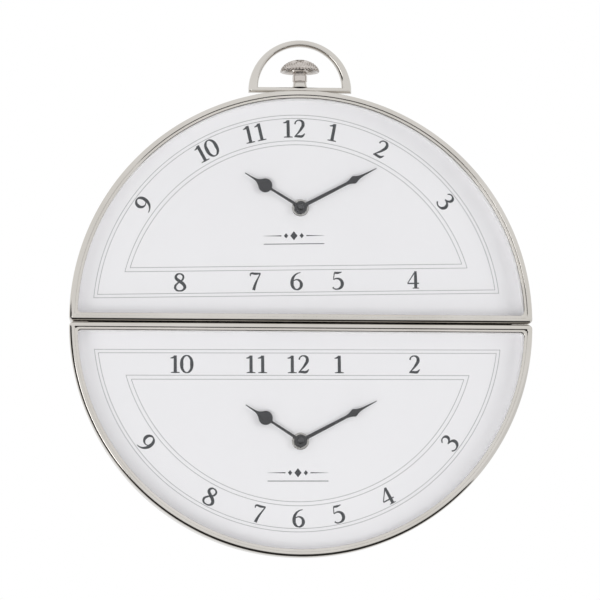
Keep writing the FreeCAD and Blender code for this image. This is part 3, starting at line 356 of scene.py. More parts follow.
WHITE = (1.0, 1.0, 1.0, 1.0)
SENSOR = 36.0
CAMERA_PLACE = Vector((-0.280, -3.800, -0.380))
CAMERA_TARGET = Vector((0.0, -0.020, 0.020))
FRONT_POINT = Vector((0.0, -0.040, 0.0))
FIELD_WIDTH = 0.4776
FLOOR_HEIGHT = -1.60
FLOOR_SIDE = 60.0
FLOOR_WHITENESS = 0.75
WORLD_LIGHT = 0.51
LEFT_LIGHT = (Vector((-2.3, -2.7, -0.8)), 1.6, 25.0)
RIGHT_LIGHT = (Vector((2.5, -2.2, 0.6)), 1.6, 24.0)
FRONT_LIGHT = (Vector((-0.3, -2.6, -0.9)), 1.2, 16.0)
BACK_LIGHT = (Vector((0.6, 2.4, 1.6)), 2.4, 28.0)
LOW_CARD = (Vector((0.0, -0.72, -0.72)), (2.0, 1.60), (0.0, 0.0))
SIDE_CARD = (Vector((-0.90, -0.55, -0.28)), (0.84, 1.20), (0.0, 90.0))

UP = Vector((0, 0, 1))
INTO_WALL = Vector((0, 1, 0))


# Shader nodes


class Link:
    """A node's output socket, with arithmetic that adds Math nodes to its tree."""

    def __init__(self, shader, socket):
        self.shader = shader
        self.socket = socket

    def join(self, operation, first, second):
        return self.shader.node("Math", {"operation": operation}, {0: first, 1: second})

    def __add__(self, other):
        return self.join("ADD", self, other)

    def __radd__(self, other):
        return self.join("ADD", other, self)

    def __sub__(self, other):
        return self.join("SUBTRACT", self, other)

    def __rsub__(self, other):
        return self.join("SUBTRACT", other, self)

    def __mul__(self, other):
        return self.join("MULTIPLY", self, other)

    def __rmul__(self, other):
        return self.join("MULTIPLY", other, self)

    def __gt__(self, other):
        return self.join("GREATER_THAN", self, other)


class Shader:
    """The node tree of one material, or of the world."""

    def __init__(self, name, kind="Material"):
        self.kind = kind
        kept = bpy.data.worlds if kind == "World" else bpy.data.materials
        self.owner = kept.new(name)
        self.owner.use_nodes = True
        self.tree = self.owner.node_tree
        self.tree.nodes.clear()

    def node(self, kind, settings, sockets, output=0):
        """Add a node: its settings come first, then the values or links of its sockets."""
        made = self.tree.nodes.new(f"ShaderNode{kind}")
        for setting, value in settings.items():
            setattr(made, setting, value)
        for place, value in sockets.items():
            if isinstance(value, Link):
                self.tree.links.new(value.socket, made.inputs[place])
            else:
                made.inputs[place].default_value = value
        return Link(self, made.outputs[output])

    def place(self, stretch=(1.0, 1.0, 1.0)):
        """Object coordinates, with a pattern's grain packed closer along each axis."""
        spot = self.node("TexCoord", {}, {}, "Object")
        return self.node("Mapping", {}, {"Vector": spot, "Scale": stretch})

    def noise(self, scale, detail=3.0, stretch=(1.0, 1.0, 1.0)):
        sockets = {"Vector": self.place(stretch), "Scale": scale, "Detail": detail}
        return self.node("TexNoise", {}, sockets, "Fac")

    def axis(self, name):
        """One of the object coordinates."""
        spot = self.node("TexCoord", {}, {}, "Object")
        return self.node("SeparateXYZ", {}, {0: spot}, name)

    def spread(self, value, low, high):
        """Stretch a value between two bounds over 0 to 1."""
        return self.node("MapRange", {}, {"Value": value, "From Min": low, "From Max": high})

    def tint(self, factor, first, second):
        """A colour between two."""
        colours = {0: factor, 6: (*first, 1.0), 7: (*second, 1.0)}
        return self.node("Mix", {"data_type": "RGBA"}, colours, 2)

    def bump(self, height, distance):
        return self.node("Bump", {}, {"Height": height, "Distance": distance})

    def seen(self):
        """1 where the camera, metal or glass looks, and 0 for light on the object."""
        camera, metal, glass = (
            self.node("LightPath", {}, {}, f"Is {ray} Ray")
            for ray in ("Camera", "Glossy", "Transmission")
        )
        return camera + metal + glass

    def blend(self, factor, first, second):
        """Finish the tree with a mix of two surfaces."""
        return self.show(self.node("MixShader", {}, {0: factor, 1: first, 2: second}))

    def finish(self, sockets):
        """Finish the tree with one surface."""
        return self.show(self.node("BsdfPrincipled", {}, sockets))

    def show(self, surface):
        """Link a surface to the tree's output. Returns the material or world."""
        made = self.tree.nodes.new(f"ShaderNodeOutput{self.kind}")
        self.tree.links.new(surface.socket, made.inputs["Surface"])
        return self.owner


# Materials


def metal(name, light, dark, roughness, wear=0.08):
    """Plated or bare metal: faint smudges, tone changes and fine scratches."""
    shader = Shader(name)
    smudge = shader.spread(shader.noise(14.0, 4.0), 0.35, 0.75)
    speck = shader.noise(900.0, 2.0)
    scratch = shader.noise(260.0, 2.0, (1.0, 1.0, 14.0))
    return shader.finish(
        {
            "Base Color": shader.tint(smudge, light, dark),
            "Metallic": 1.0,
            "Roughness": roughness + smudge * wear + speck * wear * 0.4,
            "Normal": shader.bump(scratch + speck * 0.5, 0.004 * MM),
        }
    )


def brushed(name, light, dark, roughness, stretch):
    """Metal with a fine straight grain."""
    shader = Shader(name)
    grain = shader.noise(420.0, 3.0, stretch)
    cloud = shader.noise(18.0)
    return shader.finish(
        {
            "Base Color": shader.tint(shader.spread(cloud, 0.3, 0.7), light, dark),
            "Metallic": 1.0,
            "Roughness": roughness + grain * 0.16,
            "Normal": shader.bump(grain, 0.01 * MM),
        }
    )


def moulded(name, light, dark, roughness):
    """Moulded plastic with a fine grain and a little dust."""
    shader = Shader(name)
    cloud = shader.spread(shader.noise(26.0, 4.0), 0.35, 0.7)
    grain = shader.noise(1600.0, 2.0)
    return shader.finish(
        {
            "Base Color": shader.tint(cloud, light, dark),
            "Roughness": roughness + cloud * 0.12,
            "Normal": shader.bump(grain, 0.03 * MM),
        }
    )


def painted(name, light, dark, roughness):
    """Thin powder paint with its orange peel."""
    shader = Shader(name)
    peel = shader.noise(520.0, 2.0)
    cloud = shader.spread(shader.noise(9.0, 4.0), 0.3, 0.7)
    return shader.finish(
        {
            "Base Color": shader.tint(cloud, light, dark),
            "Roughness": roughness + peel * 0.1,
            "Normal": shader.bump(peel, 0.04 * MM),
        }
    )


def dial_paper(name):
    """The dial's matt white print stock with a faint tooth."""
    shader = Shader(name)
    tooth = shader.noise(1900.0, 3.0)
    cloud = shader.spread(shader.noise(7.0, 3.0), 0.3, 0.7)
    return shader.finish(
        {
            "Base Color": shader.tint(cloud, (0.850, 0.836, 0.856), (0.833, 0.819, 0.841)),
            "Roughness": 0.55 + tooth * 0.12,
            "Normal": shader.bump(tooth, 0.008 * MM),
        }
    )


def ink(name, light, dark):
    """Printed ink with slightly uneven cover."""
    shader = Shader(name)
    cover = shader.noise(1100.0, 3.0)
    return shader.finish(
        {
            "Base Color": shader.tint(shader.spread(cover, 0.3, 0.75), dark, light),
            "Roughness": 0.42 + cover * 0.2,
        }
    )


def clear_glass(name):
    """Thin mineral glass: clear straight on, with an outer mirror that grows at a slant."""
    shader = Shader(name)
    smear = shader.spread(shader.noise(30.0, 4.0), 0.45, 0.8)
    colour, roughness = (0.95, 0.96, 0.96, 1.0), 0.03 + smear * 0.03
    sockets = {"Base Color": colour, "Metallic": 1.0, "Roughness": roughness}
    gloss = shader.node("BsdfPrincipled", {}, sockets)
    clear = shader.node("BsdfTransparent", {}, {"Color": (0.993, 0.996, 0.995, 1.0)})
    slant = shader.node("Fresnel", {}, {"IOR": 1.42})
    entering = 1.0 - shader.node("NewGeometry", {}, {}, "Backfacing")
    return shader.blend(slant * entering, clear, gloss)


def wound_copper(name):
    """A coil's turns of lacquered wire, which run round its upright axis."""
    shader = Shader(name)
    turns = shader.node(
        "TexWave",
        {"bands_direction": "Z"},
        {"Vector": shader.place(), "Scale": 900.0, "Distortion": 0.4},
        "Fac",
    )
    return shader.finish(
        {
            "Base Color": shader.tint(turns, (0.30, 0.09, 0.03), (0.72, 0.30, 0.14)),
            "Metallic": 0.85,
            "Roughness": 0.32,
            "Normal": shader.bump(turns, 0.1 * MM),
        }
    )


def battery_wrap(name):
    """A plain shrink sleeve, dark with a paler band at the nub's end."""
    shader = Shader(name)
    band = shader.axis("X") > BATTERY_BAND
    dust = shader.noise(60.0, 4.0)
    return shader.finish(
        {
            "Base Color": shader.tint(band, (0.045, 0.05, 0.055), (0.52, 0.36, 0.16)),
            "Metallic": 0.3,
            "Roughness": 0.22 + dust * 0.14,
            "Coat Weight": 0.3 + dust * 0.1,
        }
    )


def circuit_green(name):
    """Solder mask with copper runs showing through."""
    shader = Shader(name)
    runs = shader.node(
        "TexVoronoi",
        {"feature": "DISTANCE_TO_EDGE"},
        {"Vector": shader.place(), "Scale": 420.0},
        "Distance",
    )
    line = shader.spread(runs, 0.06, 0.1)
    return shader.finish(
        {
            "Base Color": shader.tint(line, (0.10, 0.30, 0.12), (0.02, 0.12, 0.05)),
            "Roughness": 0.28 + line * 0.08,
            "Normal": shader.bump(line, 0.02 * MM),
        }
    )


BATTERY_BAND = 14.0 * MM
NICKEL_LIGHT = (0.66, 0.635, 0.60)
NICKEL_DARK = (0.58, 0.555, 0.515)

FINISHES = {
    "polished_nickel": metal("polished_nickel", NICKEL_LIGHT, NICKEL_DARK, 0.045, 0.05),
    "nickel_plated_steel": metal("nickel_plated_steel", NICKEL_LIGHT, NICKEL_DARK, 0.10, 0.08),
    "mineral_glass": clear_glass("mineral_glass"),
    "white_spacer": moulded("white_spacer", (0.90, 0.89, 0.89), (0.86, 0.85, 0.85), 0.45),
    "dial_white": dial_paper("dial_white"),
    "back_painted": painted("back_painted", (0.055, 0.056, 0.06), (0.04, 0.041, 0.044), 0.42),
    "zinc_steel": brushed("zinc_steel", (0.62, 0.63, 0.64), (0.50, 0.50, 0.50), 0.24, (1, 1, 9)),
    "brass": metal("brass", (0.78, 0.57, 0.25), (0.62, 0.43, 0.18), 0.22),
    "black_plastic": moulded("black_plastic", (0.028, 0.028, 0.03), (0.018, 0.018, 0.02), 0.46),
    "rubber": moulded("rubber", (0.03, 0.03, 0.03), (0.02, 0.02, 0.02), 0.8),
    "gear_plastic": moulded("gear_plastic", (0.75, 0.72, 0.62), (0.66, 0.63, 0.53), 0.4),
    "knob_plastic": moulded("knob_plastic", (0.30, 0.30, 0.31), (0.22, 0.22, 0.23), 0.42),
    "hand_dark": painted("hand_dark", (0.024, 0.024, 0.028), (0.016, 0.016, 0.019), 0.34),
    "copper_wire": wound_copper("copper_wire"),
    "board_green": circuit_green("board_green"),
    "battery_wrap": battery_wrap("battery_wrap"),
    "spring_steel": metal("spring_steel", (0.66, 0.65, 0.62), (0.55, 0.54, 0.5), 0.2),
    "dark_steel": metal("dark_steel", (0.085, 0.085, 0.09), (0.05, 0.05, 0.055), 0.28),
}
CHROME = metal("washer_chrome", (0.40, 0.39, 0.38), (0.30, 0.29, 0.28), 0.16)
KNURLED_NICKEL = metal("knurled_nickel", (0.62, 0.58, 0.55), (0.50, 0.465, 0.435), 0.13)
NUMERAL_INK = ink("numeral_ink", (0.048, 0.052, 0.058), (0.028, 0.031, 0.036))
TRACK_INK = ink("track_ink", (0.42, 0.42, 0.43), (0.34, 0.34, 0.35))


# Helpers for modelling


def clear():
    """Leave edit mode with nothing selected."""
    if bpy.context.mode != "OBJECT":
        bpy.ops.object.mode_set(mode="OBJECT")
    bpy.ops.object.select_all(action="DESELECT")


def start_mesh(name):
    """A new empty mesh object in edit mode, for a piece that begins with a point."""
    clear()
    bpy.ops.mesh.primitive_circle_add(vertices=3, radius=MM)
    piece = bpy.context.object
    piece.name = name
    bpy.ops.object.mode_set(mode="EDIT")
    bpy.ops.mesh.delete(type="VERT")
    return piece


def edit(piece):
    return bmesh.from_edit_mesh(piece.data)


def pick(piece, chosen):
    """Select only the vertices that the test picks."""
    bpy.ops.mesh.select_mode(type="VERT")
    shape = edit(piece)
    shape.verts.ensure_lookup_table()
    for vertex in shape.verts:
        vertex.select = chosen(vertex)
    shape.select_flush_mode()
    bmesh.update_edit_mesh(piece.data)


def pick_faces(piece, chosen):
    """Select only the faces that the test picks."""
    bpy.ops.mesh.select_mode(type="FACE")
    shape = edit(piece)
    for face in shape.faces:
        face.select = chosen(face)
    shape.select_flush_mode()
    bmesh.update_edit_mesh(piece.data)


def modify(piece, kind, **settings):
    """Add a modifier and apply it."""
    clear()
    bpy.context.view_layer.objects.active = piece
    piece.select_set(True)
    bpy.ops.object.modifier_add(type=kind)
    modifier = piece.modifiers[-1]
    for setting, value in settings.items():
        setattr(modifier, setting, value)
    bpy.ops.object.modifier_apply(modifier=modifier.name)


def tidy_normals(piece):
    """Merge doubles, turn all faces outwards and leave edit mode."""
    if bpy.context.mode != "EDIT_MESH":
        clear()
        bpy.context.view_layer.objects.active = piece
        bpy.ops.object.mode_set(mode="EDIT")
    bpy.ops.mesh.select_all(action="SELECT")
    bpy.ops.mesh.remove_doubles(threshold=MERGE_DISTANCE)
    bpy.ops.mesh.normals_make_consistent(inside=False)
    bpy.ops.object.mode_set(mode="OBJECT")


def dress(piece, body, finish, stands_for=(), smooth=35.0):
    """Put a piece's place in its mesh, smooth it up to an angle in degrees, and give it
    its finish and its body."""
    clear()
    bpy.context.view_layer.objects.active = piece
    piece.select_set(True)
    piece.data.name = piece.name
    bpy.ops.object.transform_apply(location=True, rotation=True, scale=True)
    if smooth:
        bpy.ops.object.shade_smooth_by_angle(angle=math.radians(smooth))
    piece.data.materials.clear()
    piece.data.materials.append(FINISHES[finish] if isinstance(finish, str) else finish)
    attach(piece, body)
    if stands_for:
        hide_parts(*stands_for)


def join(pieces, name):
    """Make one object of several."""
    clear()
    for piece in pieces:
        piece.select_set(True)
    bpy.context.view_layer.objects.active = pieces[0]
    bpy.ops.object.join()
    pieces[0].name = name
    return pieces[0]


def copy_to(piece, shift):
    """A copy with its own mesh, shifted."""
    clear()
    bpy.context.view_layer.objects.active = piece
    piece.select_set(True)
    bpy.ops.object.duplicate()
    copy = bpy.context.object
    copy.location = shift
    bpy.ops.object.transform_apply(location=True, rotation=False, scale=False)
    return copy


def solids(name):
    """The low and high corners of each separate solid of a CAD node."""
    shape = bmesh.new()
    shape.from_mesh(nodes[name].data)
    bmesh.ops.remove_doubles(shape, verts=shape.verts, dist=MERGE_DISTANCE)
    left = set(shape.verts)
    corners = []
    while left:
        fresh = [left.pop()]
        found = list(fresh)
        while fresh:
            vertex = fresh.pop()
            for link in vertex.link_edges:
                other = link.other_vert(vertex)
                if other in left:
                    left.remove(other)
                    fresh.append(other)
                    found.append(other)
        sides = list(zip(*(vertex.co for vertex in found)))
        corners.append((Vector(map(min, sides)), Vector(map(max, sides))))
    shape.free()
    return sorted(corners, key=lambda pair: tuple(pair[0]))


def quarter(steps):
    """Sine and cosine of equal steps from no turn to a quarter of a turn."""
    angles = [math.pi / 2 * step / steps for step in range(steps + 1)]
    return [(math.sin(angle), math.cos(angle)) for angle in angles]


def rows_from(radius, height, rows):
    """Rows of a profile, in millimetres beyond a radius and over a height."""
    return [(radius + wide * MM, height + rise * MM) for wide, rise in rows]


def turned(name, base, axis, profile, steps):
    """Turn a profile of radii and heights round an axis through a base point."""
    piece = start_mesh(name)
    spots = [base + Vector((radius, 0, 0)) + axis * height for radius, height in profile]
    add_run(piece, spots)
    bpy.ops.mesh.select_all(action="SELECT")
    bpy.ops.mesh.spin(steps=steps, angle=2 * math.pi, center=base, axis=axis)
    tidy_normals(piece)
    return piece


def add_point(piece, spot):
    """Add one loose vertex to the mesh being edited and select only it. Returns its number."""
    bpy.ops.mesh.select_all(action="DESELECT")
    bpy.ops.mesh.primitive_circle_add(vertices=3, radius=MM, location=spot)
    bpy.ops.mesh.merge(type="CENTER")
    return len(edit(piece).verts) - 1


def add_run(piece, spots):
    """Add a run of edges from spot to spot to the mesh being edited."""
    add_point(piece, spots[0])
    for here, there in zip(spots, spots[1:]):
        bpy.ops.mesh.extrude_region_move(TRANSFORM_OT_translate={"value": there - here})


def spun_loop(piece, spot, turns):
    """A closed outline: a point spun about one axis into the wall after another.
    A turn is its centre, its angle and its steps. Returns the vertex numbers."""
    first = add_point(piece, spot)
    for centre, angle, steps in turns:
        bpy.ops.mesh.spin(steps=steps, angle=angle, center=centre, axis=INTO_WALL)
    last = len(edit(piece).verts) - 1
    pick(piece, lambda vertex: vertex.index in (first, last))
    bpy.ops.mesh.edge_face_add()
    return range(first, last + 1)


def bridge(piece, loops, closed=False):
    """Join outlines of equal vertex counts, each to the next. The second outline of a
    pair stands aside while they are joined, so that flat pairs join the right way."""
    pairs = list(zip(loops, loops[1:]))
    if closed:
        pairs.append((loops[-1], loops[0]))
    for one, other in pairs:
        pick(piece, lambda vertex: vertex.index in other)
        bpy.ops.transform.translate(value=(0, BRIDGE_LIFT, 0))
        pick(piece, lambda vertex: vertex.index in one or vertex.index in other)
        bpy.ops.mesh.bridge_edge_loops()
        pick(piece, lambda vertex: vertex.index in other)
        bpy.ops.transform.translate(value=(0, -BRIDGE_LIFT, 0))


# The case's half-round outline


def half_side(half):
    """The lower half is the upper one turned half round, so its heights run down."""
    return 1 if half == "upper" else -1


def round_half(piece, side, centre, radius, chord, corner, depth):
    """A half-round outline: a chord, two round corners and an arc about a centre."""
    rise = chord + corner
    reach = math.sqrt((radius - corner) ** 2 - rise**2)
    lean = math.atan2(rise, reach)
    corner_turn = math.pi / 2 + lean

    def spot(x, height):
        return Vector((side * x, depth, side * (centre + height)))

    turns = [
        (spot(reach, rise), corner_turn, CORNER_STEPS),
        (spot(0, 0), math.pi - 2 * lean, ARC_STEPS),
        (spot(-reach, rise), corner_turn, CORNER_STEPS),
    ]
    return spun_loop(piece, spot(reach, chord), turns)


def case_loop(piece, half, inset, depth, corner):
    """The case's outline at an inset from its outer wall."""
    radius = CASE_RADIUS - inset
    chord = inset - ARC_RISE
    return round_half(piece, half_side(half), ARC_HEIGHT, radius, chord, corner, depth)


def bezel_section():
    """Insets and drops from the front, round the section from the skirt's back edge."""
    section = [(0.0, BEZEL_BACK - FRONT)]
    shoulder = BEAD_WIDTH - BEAD_INNER_ROUND
    ledge = SIGHT_INSET - SIGHT_ROUND
    for sine, cosine in quarter(ROUND_STEPS):
        section.append((BEAD_ROUND * (1 - cosine), BEAD_ROUND * (1 - sine)))
    for sine, cosine in quarter(ROUND_STEPS):
        section.append((shoulder + BEAD_INNER_ROUND * sine, BEAD_INNER_ROUND * (1 - cosine)))
    section.append((BEAD_WIDTH, BEAD_STEP))
    for sine, cosine in quarter(ROUND_STEPS):
        section.append((ledge + SIGHT_ROUND * sine, BEAD_STEP + SIGHT_ROUND * (1 - cosine)))
    section.append((SIGHT_INSET, LIP))
    section.append((SKIRT_WALL, LIP))
    section.append((SKIRT_WALL, BEZEL_BACK - FRONT))
    return section


def make_bezel(half):
    """The frame round a dial, its section carried round the case's outline."""
    piece = start_mesh(f"{half}_bezel_frame")
    loops = []
    for inset, drop in bezel_section():
        corner = SIGHT_CORNER if inset >= BEAD_WIDTH else max(CASE_CORNER - inset, LEAST_CORNER)
        loops.append(case_loop(piece, half, inset, FRONT + drop, corner))
    bridge(piece, loops, closed=True)
    tidy_normals(piece)
    dress(piece, "clock", "polished_nickel", stands_for=[f"{half}_bezel"])


def make_band(half):
    """The case's side wall, without the bosses inside it."""
    piece = start_mesh(f"{half}_band_wall")
    outer = max(CASE_CORNER - BAND_INSET, LEAST_CORNER)
    inner_inset = BAND_INSET + BAND_WALL
    loops = [
        case_loop(piece, half, BAND_INSET, BAND_LOW.y, outer),
        case_loop(piece, half, BAND_INSET, BAND_HIGH.y, outer),
        case_loop(piece, half, inner_inset, BAND_HIGH.y, LEAST_CORNER),
        case_loop(piece, half, inner_inset, BAND_LOW.y, LEAST_CORNER),
    ]
    bridge(piece, loops, closed=True)
    tidy_normals(piece)
    dress(piece, "clock", "nickel_plated_steel", stands_for=[f"{half}_band"])


# Printed tracks, numerals and ornament


def set_print(piece, half, material):
    """Shift and turn a print drawn about the centre of its arcs to where it is printed."""
    x, rise = PRINT_CENTRE[half]
    piece.location = (x, 0, half_side(half) * (ARC_HEIGHT + rise))
    piece.rotation_euler = (0, -PRINT_TURN[half], 0)
    dress(piece, "clock", material, smooth=0)


def make_tracks(half):
    """Two double lines round the dial."""
    depth = DIAL_FRONT - PRINT_LIFT
    side = half_side(half)
    piece = start_mesh(f"{half}_tracks")
    for radius, chord in zip(TRACK_RADII, TRACK_CHORDS):
        outside = round_half(piece, side, 0, radius, chord, TRACK_CORNER, depth)
        inner_radius, inner_chord = radius - LINE_WIDTH, chord + LINE_WIDTH
        inside = round_half(piece, side, 0, inner_radius, inner_chord, TRACK_CORNER, depth)
        bridge(piece, [outside, inside])
    tidy_normals(piece)
    set_print(piece, half, TRACK_INK)


def start_strokes(name):
    """An empty curve for strokes, whose points have their half width as radius."""
    curve = bpy.data.curves.new(name, "CURVE")
    curve.dimensions = "3D"
    curve.bevel_depth = 1.0
    curve.use_fill_caps = True
    return curve


def print_strokes(half, curve):
    """Make a curve's strokes a mesh, press them flat on the dial and set them in place."""
    clear()
    piece = bpy.data.objects.new(curve.name, curve)
    bpy.context.collection.objects.link(piece)
    bpy.context.view_layer.objects.active = piece
    piece.select_set(True)
    bpy.ops.object.convert(target="MESH")
    bpy.ops.object.mode_set(mode="EDIT")
    bpy.ops.mesh.select_all(action="SELECT")
    middle = (0, DIAL_FRONT - PRINT_LIFT, 0)
    bpy.ops.transform.resize(value=(1, INK_THICKNESS, 1), center_override=middle)
    bpy.ops.object.mode_set(mode="OBJECT")
    set_print(piece, half, NUMERAL_INK)


def draw_number(curve, text, x, height, turn):
    """Add a number's strokes to a curve, upright about its middle and then turned."""
    width = DIGIT_STEP * (len(text) - 1)
    for place, digit in enumerate(text):
        middle = DIGIT_STEP * place - width / 2
        for closed, *points in STROKES[digit]:
            stroke = curve.splines.new("BEZIER")
            stroke.use_cyclic_u = closed
            stroke.bezier_points.add(len(points) - 1)
            for point, (across, up, half_width) in zip(stroke.bezier_points, points):
                right = (middle + (across - DIGIT_MIDDLE) * DIGIT_WIDEN) * NUMERAL_HEIGHT
                above = (up - 0.5) * NUMERAL_HEIGHT
                spot_x = x + right * math.cos(turn) - above * math.sin(turn)
                spot_z = height + right * math.sin(turn) + above * math.cos(turn)
                point.co = (spot_x, DIAL_FRONT - PRINT_LIFT, spot_z)
                point.radius = half_width * STROKE_WEIGHT * NUMERAL_HEIGHT
                point.handle_left_type = point.handle_right_type = "AUTO"


def make_numerals(half):
    """The hours: seven round the arc and five along the chord."""
    curve = start_strokes(f"{half}_numerals")
    curve.bevel_resolution = 2
    curve.resolution_u = 8
    near, far = CHORD_PLACES
    row = (-far, -near, 0.0, near, far)
    wide, middle, close = reversed(NUMERAL_ANGLES)
    around = (wide, middle, close, 0.0, -close, -middle, -wide)
    side = half_side(half)
    for hour, angle in zip(ARC_HOURS[half], around):
        x = -NUMERAL_RADIUS * math.sin(angle)
        height = side * NUMERAL_RADIUS * math.cos(angle)
        draw_number(curve, hour, x, height, side * angle)
    for hour, x in zip(CHORD_HOURS[half], row):
        draw_number(curve, hour, x, side * CHORD_ROW, 0.0)
    print_strokes(half, curve)


def lozenge(place, half_height, half_width):
    """Two strokes that widen to a lozenge's middle and narrow to its tips."""
    middle = (place, 0, half_width)
    top, foot = (place, half_height, LOZENGE_TIP), (place, -half_height, LOZENGE_TIP)
    return [(top, middle), (middle, foot)]


def make_ornament(half):
    """A plain rule with three lozenges and two tapered lines over it."""
    x, height = ORNAMENT_CENTRE[half]
    height *= half_side(half)
    curve = start_strokes(f"{half}_ornament")
    curve.bevel_resolution = 1
    rule_ends = ((side * ORNAMENT_HALF, -RULE_DROP, RULE_WIDTH / 2) for side in (-1, 1))
    strokes = [tuple(rule_ends)]
    thick, thin = TAPER_HALF_WIDTHS
    for side in (-1, 1):
        strokes.append(((side * ORNAMENT_HALF, 0, thin), (side * TAPER_START, 0, thick)))
        strokes += lozenge(side * LOZENGE_PLACE, *SIDE_LOZENGE)
    strokes += lozenge(0, *MIDDLE_LOZENGE)
    for points in strokes:
        stroke = curve.splines.new("POLY")
        stroke.points.add(len(points) - 1)
        for point, (across, up, half_width) in zip(stroke.points, points):
            point.co = (x + across, DIAL_FRONT - PRINT_LIFT, height + up, 1)
            point.radius = half_width
    print_strokes(half, curve)


# Crown


def cap_profile():
    """Radius and height of the crown's dome, from its top to its rim."""
    dome = CROWN_HEIGHT - CAP_LOW
    return [
        (CROWN_RADIUS * sine, CAP_LOW + dome * cosine**DOME_FULLNESS)
        for sine, cosine in quarter(CAP_ROWS)
    ]


def make_crown():
    """A domed cap with a diamond knurl and a scalloped rim, hollow under, on a turned stem."""
    profile = [
        *cap_profile(),
        *rows_from(CROWN_RADIUS, CAP_LOW, CAP_EDGE),
        *rows_from(STEM_RADIUS, CAP_LOW, STEM_TOP),
        *rows_from(STEM_RADIUS, 0.0, STEM_FOOT),
        (0.0, 0.0),
    ]
    base = Vector((CROWN_MIDDLE.x, CROWN_MIDDLE.y, CROWN_LOW.z))
    piece = turned("crown_knurled", base, UP, profile, CAP_SIDES)
    bpy.ops.object.mode_set(mode="EDIT")
    rim = base.z + CAP_LOW

    def knurled(vertex):
        """Every other vertex of the cap's rows, shifted by one from row to row."""
        x, y = vertex.co.x - CROWN_MIDDLE.x, vertex.co.y - CROWN_MIDDLE.y
        radius = min(math.hypot(x, y) / CROWN_RADIUS, 1.0)
        row = round(math.asin(radius) / (math.pi / 2) * CAP_ROWS)
        column = round(math.atan2(y, x) / (2 * math.pi) * CAP_SIDES)
        on_cap = vertex.co.z > rim - KNURL_MARGIN and row >= KNURL_FIRST_ROW
        return on_cap and (row + column) % 2 == 1

    pick(piece, knurled)
    bpy.ops.transform.shrink_fatten(value=-KNURL)
    pick_faces(piece, lambda face: face.calc_center_median().z > rim)
    bpy.ops.mesh.quads_convert_to_tris(quad_method="SHORTEST_DIAGONAL")
    bpy.ops.object.mode_set(mode="OBJECT")
    dress(piece, "crown", KNURLED_NICKEL, stands_for=["crown"], smooth=12)


# Bow


def bow_loop(piece, half_width, low, high, depth):
    """An arch over a straight foot: one arc through its two ends and its crest."""
    rise = high - low
    radius = (half_width**2 + rise**2) / rise / 2
    centre = Vector((0, depth, high - radius))
    lean = math.atan2(low - centre.z, half_width)
    start = Vector((half_width, depth, low))
    return spun_loop(piece, start, [(centre, math.pi - 2 * lean, BOW_STEPS)])


def rounded(share):
    """Swell a sine or cosine, so that an oval made with it is fuller than an ellipse."""
    return math.copysign(abs(share) ** BOW_SQUARENESS, share)


def make_bow():
    """A D-shaped ring of oval section with a straight foot, and the boss round the stud."""
    piece = start_mesh("bow_ring")
    middle = (BOW_LOW.y + BOW_HIGH.y) / 2
    bar = BOW_LOW.z + BOW_BASE
    crest = BOW_LOW.z + BOW_INNER_RISE
    loops = []
    for row in range(BOW_ROWS):
        angle = 2 * math.pi * row / BOW_ROWS
        inward = (1 - rounded(math.cos(angle))) / 2
        depth = middle + BOW_DEPTH / 2 * rounded(math.sin(angle))
        half_width = BOW_HIGH.x + (BOW_INNER_HALF - BOW_HIGH.x) * inward
        low = BOW_LOW.z + (bar - BOW_LOW.z) * inward
        high = BOW_HIGH.z + (crest - BOW_HIGH.z) * inward
        loops.append(bow_loop(piece, half_width, low, high, depth))
    bridge(piece, loops, closed=True)
    tidy_normals(piece)
    dress(piece, "bow", "polished_nickel", stands_for=["bow"], smooth=50)
    profile = rows_from(BOSS_RADIUS, 0.0, BOSS_FOOT)
    profile += rows_from(BOSS_RADIUS, BOSS_HEIGHT, BOSS_TOP)
    boss = turned("bow_boss", Vector((0, middle, bar)), UP, profile, TURNED_STEPS)
    dress(boss, "bow", "polished_nickel")


# Hands


def make_hub(base, thick, bore):
    """The round hub that a hand's blade grows from."""
    rows = [
        (bore, 0.0),
        (HUB_RADIUS, 0.0),
        (HUB_RADIUS, thick - HUB_CHAMFER),
        (HUB_RADIUS - HUB_CHAMFER, thick),
        (bore, thick),
        (bore, 0.0),
    ]
    return turned("hub", base, -INTO_WALL, rows, TURNED_STEPS)


def make_hand(half, kind):
    """A flat blade with softened edges on a round hub, turned to its hour."""
    node = f"{half}_{kind}_hand"
    low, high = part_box(node)
    nut_low, nut_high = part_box(f"{half}_hand_nut")
    arbor = (nut_low + nut_high) / 2
    turn = HAND_ANGLES[half][kind]
    right = Vector((math.cos(turn), 0, -math.sin(turn))) * MM
    along = Vector((math.sin(turn), 0, math.cos(turn))) * MM
    foot = Vector((arbor.x, high.y - BLADE_STEP, arbor.z))
    rows = HAND_ROWS[kind]
    edge = [foot + right * wide + along * reach for wide, reach in rows]
    edge += [foot - right * wide + along * reach for wide, reach in reversed(rows)]
    blade = start_mesh(f"{node}_blade")
    add_run(blade, edge)
    pick(blade, lambda vertex: vertex.index in (0, len(edge) - 1))
    bpy.ops.mesh.edge_face_add()
    bpy.ops.mesh.select_all(action="SELECT")
    bpy.ops.mesh.edge_face_add()
    thick = high.y - low.y
    forward = {"value": -INTO_WALL * (thick - 2 * BLADE_STEP)}
    bpy.ops.mesh.extrude_region_move(TRANSFORM_OT_translate=forward)
    tidy_normals(blade)
    modify(blade, "BEVEL", width=BLADE_ROUND, segments=2, limit_method="ANGLE")
    hub = make_hub(Vector((arbor.x, high.y, arbor.z)), thick, HUB_BORES[kind])
    modify(blade, "BOOLEAN", operation="UNION", object=hub, solver="EXACT")
    bpy.data.objects.remove(hub)
    dress(blade, f"{half}_{kind}", "hand_dark", stands_for=[node])


